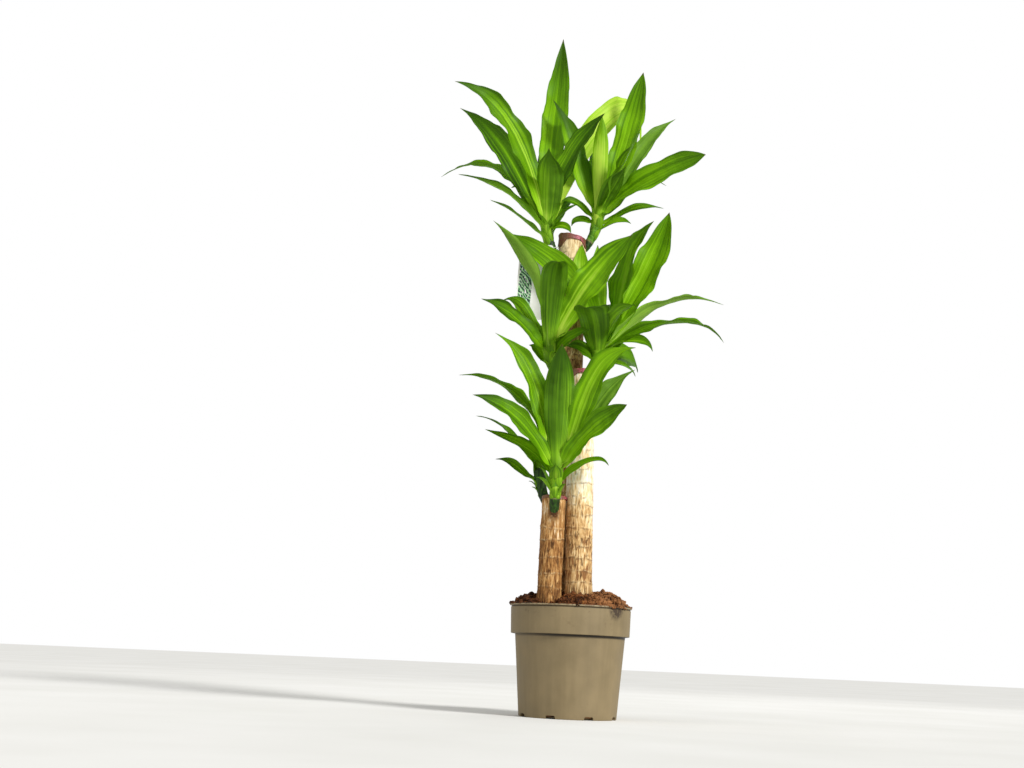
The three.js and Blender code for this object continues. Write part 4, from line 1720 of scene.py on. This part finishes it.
    def closed_blade(self, leaf: Leaf, number: int, top: Array, bottom: Array, share: Array,
                     edge: Array) -> Skin:
        """Joins a blade's two faces at their rim and marks them for the finish.

        Args:
            leaf: the leaf.
            number: its place in the shoot.
            top: the upper face's points as rows, columns and coordinates.
            bottom: the lower face's points.
            share: each row's share of the length.
            edge: each column's place across, from -1 to 1.

        Returns:
            The skin with its marks.
        """
        rows, columns = top.shape[:2]
        count = rows * columns
        upper = np.arange(count).reshape(rows, columns)
        lower = upper.copy()
        lower[1:-1, 1:-1] = count + np.arange((rows - 2) * (columns - 2)).reshape(rows - 2, -1)
        look = leaf.tint.value
        across, along = np.broadcast_arrays(edge, share)
        stripe = look.stripe * hump(look.centre, look.spread, across) * ease(0.95, 0.6, along)
        light = look.light + look.tip * ease(0.55, 1.0, along) \
            + look.root * hump(0.11, 0.1, along) + 0.1 * (chance(leaf.tip[0] + 3 * number) - 0.5)
        marks = {"across": across, "along": along, "light": light, "stripe": stripe,
                 "leaf": np.full(across.shape, number + chance(leaf.tip[2])),
                 "underside": np.full(across.shape, look.bloom)}
        inner = (slice(1, -1), slice(1, -1))
        points = np.concatenate([top.reshape(-1, 3), bottom[inner].reshape(-1, 3)])
        flat = {name: np.concatenate([values.reshape(-1), values[inner].reshape(-1)])
                for name, values in marks.items()}
        flat["underside"][count:] = look.under
        return Skin(points, quads(upper) + quads(lower, -1), flat)

    def stem_skin(self, grain: Grain) -> Skin:
        """The green stem with the rings where leaves were.

        Args:
            grain: gives it its slight unevenness.

        Returns:
            The skin with the marks ring, knob and collar.
        """
        line = self.stem_line(np.linspace(0, 1, self.stem_rows))
        along, run = headings(line), distances(line)[:, None]
        across = unit(np.cross((0, 1, 0), along))
        angle = circle(self.stem_sides)
        beat = (run + self.ring_slant * np.sin(angle + run * 0.35)) / self.ring_step % 1
        radius = self.stem_radius(run / run[-1]) \
            + self.ring_height * (beat - 0.5) * ease(0, 8, run) \
            + self.knob_height * ease(self.knob + 2, self.knob - 4, run)
        radius = radius * (1 - 0.93 * ease(run[-1] - 9, run[-1], run))
        rings = beside(line, across, np.cross(along, across), radius * np.cos(angle),
                       radius * np.sin(angle))
        dents = self.stem_dent * grain.at(rings, 6.0)
        rings = rings + dents[..., None] * unit(rings - line[:, None])
        return tube(rings, {"ring": hump(0.95, 0.07, beat),
                            "knob": 0.95 * ease(self.knob + 1, self.knob - 2, run) + 0 * radius,
                            "collar": 0.6 * hump(self.knob, 1.3, run) + 0 * radius})

    def build(self, grain: Grain, blade: bpy.types.Material, green: bpy.types.Material) -> None:
        """Makes the shoot's leaves and stem and dresses them.

        Args:
            grain: gives them their slight unevenness.
            blade: the leaves' finish.
            green: the stem's finish.
        """
        skins = [self.blade(leaf, number, grain) for number, leaf in enumerate(self.leaves)]
        make_piece(f"{self.name}_leaves", join(skins), blade, self.name, crease=70.0)
        make_piece(f"{self.name}_stem", self.stem_skin(grain), green, self.name)


# ---- care tag ----
@dataclass
class CareTag:
    """A thin card with an eye near its upper edge, and the elastic ring that it hangs on.

    Attributes:
        curl: how far its side edges bend forwards.
        eye: how far right of the middle and below the upper edge its eye is, and its radius.
        panel: the printed panel's left and right edge, foot and top, from the card's middle.
    """

    centre: Point = (-79.0, 3.0, 693.0)
    tilt: float = 2.7
    width: float = 54.0
    height: float = 127.0
    thickness: float = 0.9
    corner: float = 4.0
    curl: float = 1.8
    eye: Point = (15.5, 12.0, 2.5)
    panel: tuple[float, float, float, float] = (-24.5, -3.0, -60.0, 46.0)
    tie_centre: Point = (-52.0, 11.0, 748.2)
    tie_lean: float = 25.0
    tie_radius: float = 13.2
    tie_thickness: float = 1.2
    tie_steps: int = 96
    tie_sides: int = 12
    eye_sides: int = 32
    rows: int = 60
    columns: int = 26

    def card_skin(self) -> Skin:
        """The card: a slightly curled plate with round corners and an eye."""
        half_height, corner = self.height / 2, self.corner
        rise = np.sin(np.linspace(-1, 1, self.rows) * math.pi / 2)[:, None] * half_height
        past = np.maximum(np.abs(rise) - (half_height - corner), 0)
        half = self.width / 2 - corner + np.sqrt(np.maximum(corner ** 2 - past ** 2, 0.01))
        right = np.linspace(-1, 1, self.columns)[None] * half
        curl = self.curl * (right / self.width * 2) ** 2 * (0.4 + 0.6 * rise / self.height)
        front, back = (np.stack(np.broadcast_arrays(right, depth - curl, rise), axis=-1)
                       for depth in (0, self.thickness))
        card = tube(np.concatenate([front, back[:, ::-1]], axis=1))
        across, drop, radius = self.eye
        ring = around(radius, circle(self.eye_sides), 0)[:, [0, 2, 1]]
        punch = np.stack([ring + (across, depth, half_height - drop) for depth in (8, -8)])
        shaped = carve(card, [tube(punch)])
        turn = Matrix.Rotation(math.radians(self.tilt), 3, "Y")
        return Skin(moved(shaped.points, turn, self.centre), shaped.faces)

    def tie_skin(self, grain: Grain) -> Skin:
        """The elastic ring, a little uneven, with a small knot.

        Args:
            grain: gives it its unevenness.

        Returns:
            The skin.
        """
        angle, side = circle(self.tie_steps)[:, None], circle(self.tie_sides)
        thick = self.tie_thickness / 2 * (1 + 1.1 * hump(math.pi * 0.75, 0.12, angle))
        rings = around(self.tie_radius + thick * np.cos(side), angle, thick * np.sin(side))
        rings[..., 2] += 0.4 * grain.at(rings, 8.0)
        turn = Matrix.Rotation(math.radians(-self.tie_lean), 3, "Y")
        points = moved(rings, turn, self.tie_centre).reshape(-1, 3)
        ids = np.arange(len(points)).reshape(rings.shape[:2])
        return Skin(points, quads(np.pad(ids, ((0, 1), (0, 1)), mode="wrap")))

    def build(self, grain: Grain) -> None:
        """Makes the card and its tie and dresses both.

        Args:
            grain: gives the tie its slight unevenness.
        """
        card = PrintedCard(self.centre, self.tilt, self.panel).material()
        make_piece("care_tag_card", self.card_skin(), card, "care_tag", crease=35.0)
        make_piece("tag_tie_ring", self.tie_skin(grain), Elastic().material(), "tag_tie")


# ---- studio ----
@dataclass(frozen=True)
class SoftLight:
    """A square soft light. Its place and its side are in metres, its power in watts."""

    name: str
    place: Point
    size: float
    power: float


@dataclass
class Studio:
    """The camera of the photo, a pale floor, a white surround and soft lights.

    Attributes:
        clip: the nearest and the farthest that it sees, in metres.
        surround: how brightly the surround lights.
        backdrop: how bright it is seen.
        sun_width: the angle that the main light covers, in degrees.
        aim: the point that the soft lights face, in metres.
    """

    camera_place: Point = (-107.3, -2213.8, 87.7)
    pitch: float = 11.04
    roll: float = 2.5
    focal_length: float = 49.22
    sensor_width: float = 36.0
    clip: tuple[float, float] = (0.05, 60.0)
    floor_radius: float = 14.0
    surround: float = 0.46
    backdrop: float = 1.0
    sun_power: float = 3.3
    sun_width: float = 16.0
    sun_from: Point = (1.0, -1.0, 0.85)
    aim: Point = (0.0, 0.0, 0.55)
    lights: tuple[SoftLight, ...] = (SoftLight("fill", (-1.9, -1.5, 1.4), 1.6, 9.0),
                                     SoftLight("rim", (0.9, 1.7, 1.9), 1.2, 10.0))

    def build(self) -> None:
        """Sets the floor, the surround, the lights and the camera."""
        self.floor()
        self.world()
        self.sun()
        for light in self.lights:
            self.hang(light)
        self.camera()
        view = bpy.context.scene.view_settings
        view.view_transform, view.look = "Standard", "None"

    def floor(self) -> None:
        """Lays the floor."""
        shape = bmesh.new()
        bmesh.ops.create_circle(shape, cap_ends=True, segments=96, radius=self.floor_radius)
        mesh = bpy.data.meshes.new("floor")
        shape.to_mesh(mesh)
        shape.free()
        mesh.materials.append(StudioFloor().material())
        linked("floor", mesh)

    def world(self) -> None:
        """Makes the white surround, which is seen brighter than it lights."""
        brush = Brush("surround", world=True)
        seen = brush.add("LightPath").outputs["Is Camera Ray"]
        strength = brush.spread(seen, 0.0, 1.0, self.surround, self.backdrop)
        white = brush.add("Background", {"Color": (1, 1, 1, 1), "Strength": strength})
        bpy.context.scene.world = brush.done(white.outputs[0], "OutputWorld")

    def sun(self) -> None:
        """Sets the wide soft main light, from the right, above and a little in front."""
        lamp = bpy.data.lights.new("main", "SUN")
        lamp.energy, lamp.angle = self.sun_power, math.radians(self.sun_width)
        hung = linked("main", lamp)
        hung.rotation_euler = Vector(self.sun_from).to_track_quat("Z", "Y").to_euler()

    def hang(self, light: SoftLight) -> None:
        """Hangs a soft light that faces the plant.

        Args:
            light: the light.
        """
        lamp = bpy.data.lights.new(light.name, "AREA")
        lamp.size, lamp.energy = light.size, light.power
        hung = linked(light.name, lamp)
        hung.location = light.place
        aim = Vector(self.aim) - Vector(light.place)
        hung.rotation_euler = aim.to_track_quat("-Z", "Y").to_euler()

    def camera(self) -> None:
        """Stands the camera where the photo was taken."""
        lens = bpy.data.cameras.new("camera")
        lens.lens, lens.sensor_width = self.focal_length, self.sensor_width
        lens.clip_start, lens.clip_end = self.clip
        seen = linked("camera", lens)
        turn = Matrix.Rotation(math.radians(90 + self.pitch), 4, "X") \
            @ Matrix.Rotation(math.radians(self.roll), 4, "Z")
        seen.matrix_world = Matrix.Translation(Vector(self.camera_place) * MM) @ turn
        bpy.context.scene.camera = seen


# ---- this plant ----
CANES = [
    Cane("tall", (-8, 22), (-18, 22, 775), 21.5,
         scars=(206, 231, 262, 287, 318, 352, 379, 411, 446, 472, 505, 541, 564, 577, 602, 634,
                667, 698, 728, 738, 748),
         bark=CaneBark("cane_bark_tall", bare="#fae3b4"), thin_side=-62.0,
         drips=((-178, 7.0), (-158, 9.0), (-138, 6.0), (-28, 7.0), (-8, 9.0), (30, 5), (100, 6),
                (150, 4)),
         knots=((-38, 16, 722, 0.7), (3, 24, 752, 0.7)), flare_height=190.0,
         sunlit_paling=(660.0, 720.0, 0.95), wax_skirt=7.5, slant=4.0),
    Cane("medium", (12, -22), (2.5, -22, 540), 20.5,
         scars=(205, 224, 243, 260, 277, 290, 311, 325, 338, 359, 384, 412, 441, 470, 503),
         bark=CaneBark("cane_bark_medium", pale="#e9d0a0", body="#d0a86e", brown="#8a5f36"),
         thin_side=-80.0, drips=((-130, 4.5), (-60, 2), (10, 5), (80, 3), (150, 5)),
         knots=((-17, -30, 503, 0.7), (23, -20, 508, 0.7)), flare_height=188.0,
         sunlit_paling=(290.0, 350.0, 1.1), wax_skirt=5.0),
    Cane("short", (-38.5, -32), (-33.5, -32, 336), 18.2,
         scars=(195, 216, 241, 270, 288),
         bark=CaneBark("cane_bark_short", pale="#cda268", body="#a0703b", brown="#69411d"),
         thin_side=-20.0, drips=((-150, 1.0), (0, 1.0), (60, 3), (120, 2)),
         knots=((-34, -50, 309, 1.15), (-51, -24, 325, 0.6), (-55, -38, 288, 0.1)),
         flare_height=176.0, sunlit_paling=(250.0, 310.0, 0.45), wax_skirt=3.2),
]

SHOOTS = [
    Shoot("shoot_top_left", (-36, 15, 726), (-61, 15, 794), [
        Leaf((18, 85, 370), 0, 98, 86, 46, 0, Tint.SHADED, broadest=0.5),
        Leaf((-160, -100, 203), 5, 75, -5, 46, -85, Tint.STRIPED),
        Leaf((-159, 95, 237), 5, 61, 33, 44, -55, Tint.MIDLINE),
        Leaf((-188, 130, 120), 8, 70, -25, 30, -35, arch=1.1),
        Leaf((-148, -80, 53), 15, 52, -5, 21, 0, Tint.STRIPED),
        Leaf((-95, -60, 19), 30, 33, 7, 22, -20),
        Leaf((-63, 110, 99), 10, 58, -1, 30, 20, Tint.DEEP),
        Leaf((-3, -75, 106), 5, 84, 30, 50, -20, Tint.RIGHT),
        Leaf((88, -32, 187), 5, 88, 43, 42, 75, Tint.LEFT, broadest=0.5),
        Leaf((50, 70, 72), 25, 73, 28, 20, 20, Tint.DEEP),
        Leaf((48, -40, 25), 22, 83, 10, 18, 40),
        Leaf((40, -23, -20), 16, 68, -68, 17, 50, arch=1.3),
        Leaf((5, 150, 190), 3, 72, 12, 44, 0, Tint.STRIPED),
        Leaf((160, 105, 178), 3, 79, -94, 46, 70, Tint.GLOWING, arch=1.86),
    ], knob=44.0),
    Shoot("shoot_top_right", (2, 25, 758), (24, 25, 818), [
        Leaf((72, 30, 270), 0, 69, 80, 48, 45, Tint.PLAIN, broadest=0.58),
        Leaf((136, 85, 210), 5, 59, 35, 32, 50, Tint.DULL),
        Leaf((169, -65, 90), 10, 63, 12, 48, 50, Tint.PLAIN, 40, 0.7, 0.55),
        Leaf((124, 95, 89), 10, 41, -18, 23, 20),
        Leaf((112, 20, 23), 25, 41, -11, 20, 45),
        Leaf((54, -20, -19), 35, 45, -39, 18, 45),
        Leaf((59, -80, 124), 5, 62, 61, 51, 55, Tint.STRIPED, broadest=0.5),
        Leaf((38, -75, 61), 8, 62, 38, 34, 0, Tint.DEEP),
        Leaf((0, -25, 165), 5, 80, 88, 28, 0, Tint.SPEAR, broadest=0.6),
        Leaf((-83, 6, 204), 0, 66, 58, 40, -60, Tint.LEFT),
        Leaf((-63, -8, 18), 15, 59, -34, 20, -60),
        Leaf((-44, -5, -23), 22, 72, -80, 17, -50, arch=1.2),
        Leaf((-41, 90, 161), 0, 55, 56, 37, 15, Tint.DEEP),
        Leaf((10, 140, 150), 3, 72, 0, 42, 0, Tint.STRIPED),
    ], knob=15.0),
    Shoot("shoot_middle_left", (-12, -27, 508), (-51, -34, 575), [
        Leaf((-97, -75, 183), 5, 90, 23, 26, -45, Tint.PALE, twist=105),
        Leaf((6, -110, 110), 0, 88, -20, 44, 0, Tint.DEEP, broadest=0.6),
        Leaf((125, -26, 184), 0, 67, 47, 56, 75, Tint.WARM, broadest=0.58),
        Leaf((-110, -75, 56), 15, 45, 4, 33, -70, Tint.DEEP),
        Leaf((-82, 30, 79), 15, 57, -28, 28, -40),
        Leaf((-32, 20, 7), 30, 41, 7, 20, -55),
        Leaf((-14, -10, -23), 35, 23, -3, 7, 0),
        Leaf((62, -50, 21), 25, 84, 10, 36, 60, Tint.DEEP),
        Leaf((-15, 110, 60), 8, 58, 5, 24, 0, Tint.STRIPED),
    ]),
    Shoot("shoot_middle_right", (18, -20, 512), (28, -20, 574), [
        Leaf((-163, 12, 198), 0, 90, 23, 50, -75, Tint.PLAIN),
        Leaf((-30, 20, 185), 0, 76, 97, 36, -56, Tint.SPEAR, broadest=0.6),
        Leaf((-3, 45, 192), 0, 85, 90, 32, 0, Tint.BACKLIT, broadest=0.55),
        Leaf((116, 55, 257), 0, 60, 77, 57, 40, Tint.SUNNY, broadest=0.58),
        Leaf((84, -10, 220), 3, 59, 45, 54, 40, Tint.WARM, broadest=0.6),
        Leaf((210, 55, 101), 10, 58, -17, 34, -80, Tint.PALE, twist=118),
        Leaf((191, -75, 6), 15, 52, -60, 34, 75, Tint.DEEP, twist=-85),
        Leaf((82, -60, -9), 18, 82, -75, 24, 40),
        Leaf((70, 55, -20), 20, 85, -84, 44, 60, Tint.DEEP),
        Leaf((61, -5, -39), 30, 82, -81, 20, 20),
        Leaf((48, -115, 50), 8, 87, -18, 42, 10),
        Leaf((-29, -130, 39), 12, 72, -20, 56, 0, Tint.DEEP, broadest=0.6),
        Leaf((-52, -25, 2), 25, 94, -14, 30, -55, Tint.DEEP),
        Leaf((20, 130, 110), 5, 65, 5, 40, 0, Tint.STRIPED),
    ]),
    Shoot("shoot_short_front", (-34, -38, 302), (-33, -62, 375), [
        Leaf((-104, -10, 211), 0, 74, 26, 38, -70, Tint.VIVID),
        Leaf((-161, 55, 154), 5, 85, -5, 30, -25),
        Leaf((-133, -80, 98), 8, 61, 0, 36, -75, Tint.RIGHT),
        Leaf((-113, -20, 56), 20, 74, 16, 26, -55),
        Leaf((0, -50, 189), 0, 84, 60, 50, 0, Tint.LEFT, broadest=0.55),
        Leaf((114, -50, 188), 3, 62, -2, 46, 85, Tint.VIVID),
        Leaf((119, 10, 166), 3, 56, 29, 38, 70, Tint.DULL),
        Leaf((100, -80, 93), 12, 66, 26, 43, 80, Tint.WARM, broadest=0.64),
        Leaf((80, -15, 8), 35, 93, -63, 18, 45),
        Leaf((-2, -28, 7), 30, 88, 60, 22, 0),
        Leaf((-30, -12, 3), 35, 52, 5, 9, 0),
        Leaf((-31, -20, -15), 40, 50, -10, 9, 0),
        Leaf((15, -16, -23), 41, 31, -10, 7, 0),
    ], knob=36.0),
    # Painted shade: this shoot's stem is dark all the way up, its knob reaching past the crown, and
    # its leaves are all deep green.
    Shoot("shoot_short_back", (-45, -21, 328), (-57, -4, 382), [
        Leaf((-107, 50, 91), 0, 51, 6, 19, -10, Tint.DEEP),
        Leaf((-72, 20, 17), 25, 31, -4, 18, -40, Tint.DEEP),
        Leaf((-17, 5, -18), 30, 20, -7, 7, 0, Tint.DEEP),
        Leaf((-12, -5, -28), 42, 40, 10, 7, 0, Tint.DEEP),
        Leaf((-30, 75, 88), 0, 55, 27, 29, 25, Tint.DEEP),
        Leaf((7, 30, 70), 0, 80, 50, 24, 0, Tint.DEEP),
    ], knob=70.0),
]


def main() -> None:
    """Builds the plant and its studio."""
    logging.basicConfig(level=logging.INFO, format="%(name)s: %(message)s")
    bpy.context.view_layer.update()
    grain = Grain(seed=5)
    pot = Pot()
    pot.build(grain)
    Soil().build(grain, CANES, pot)
    for cane in CANES:
        cane.build(grain)
    blade, green = LeafBlade().material(), StemGreen().material()
    for shoot in SHOOTS:
        shoot.build(grain, blade, green)
    CareTag().build(grain)
    Studio().build()


if __name__ == "__main__":
    main()
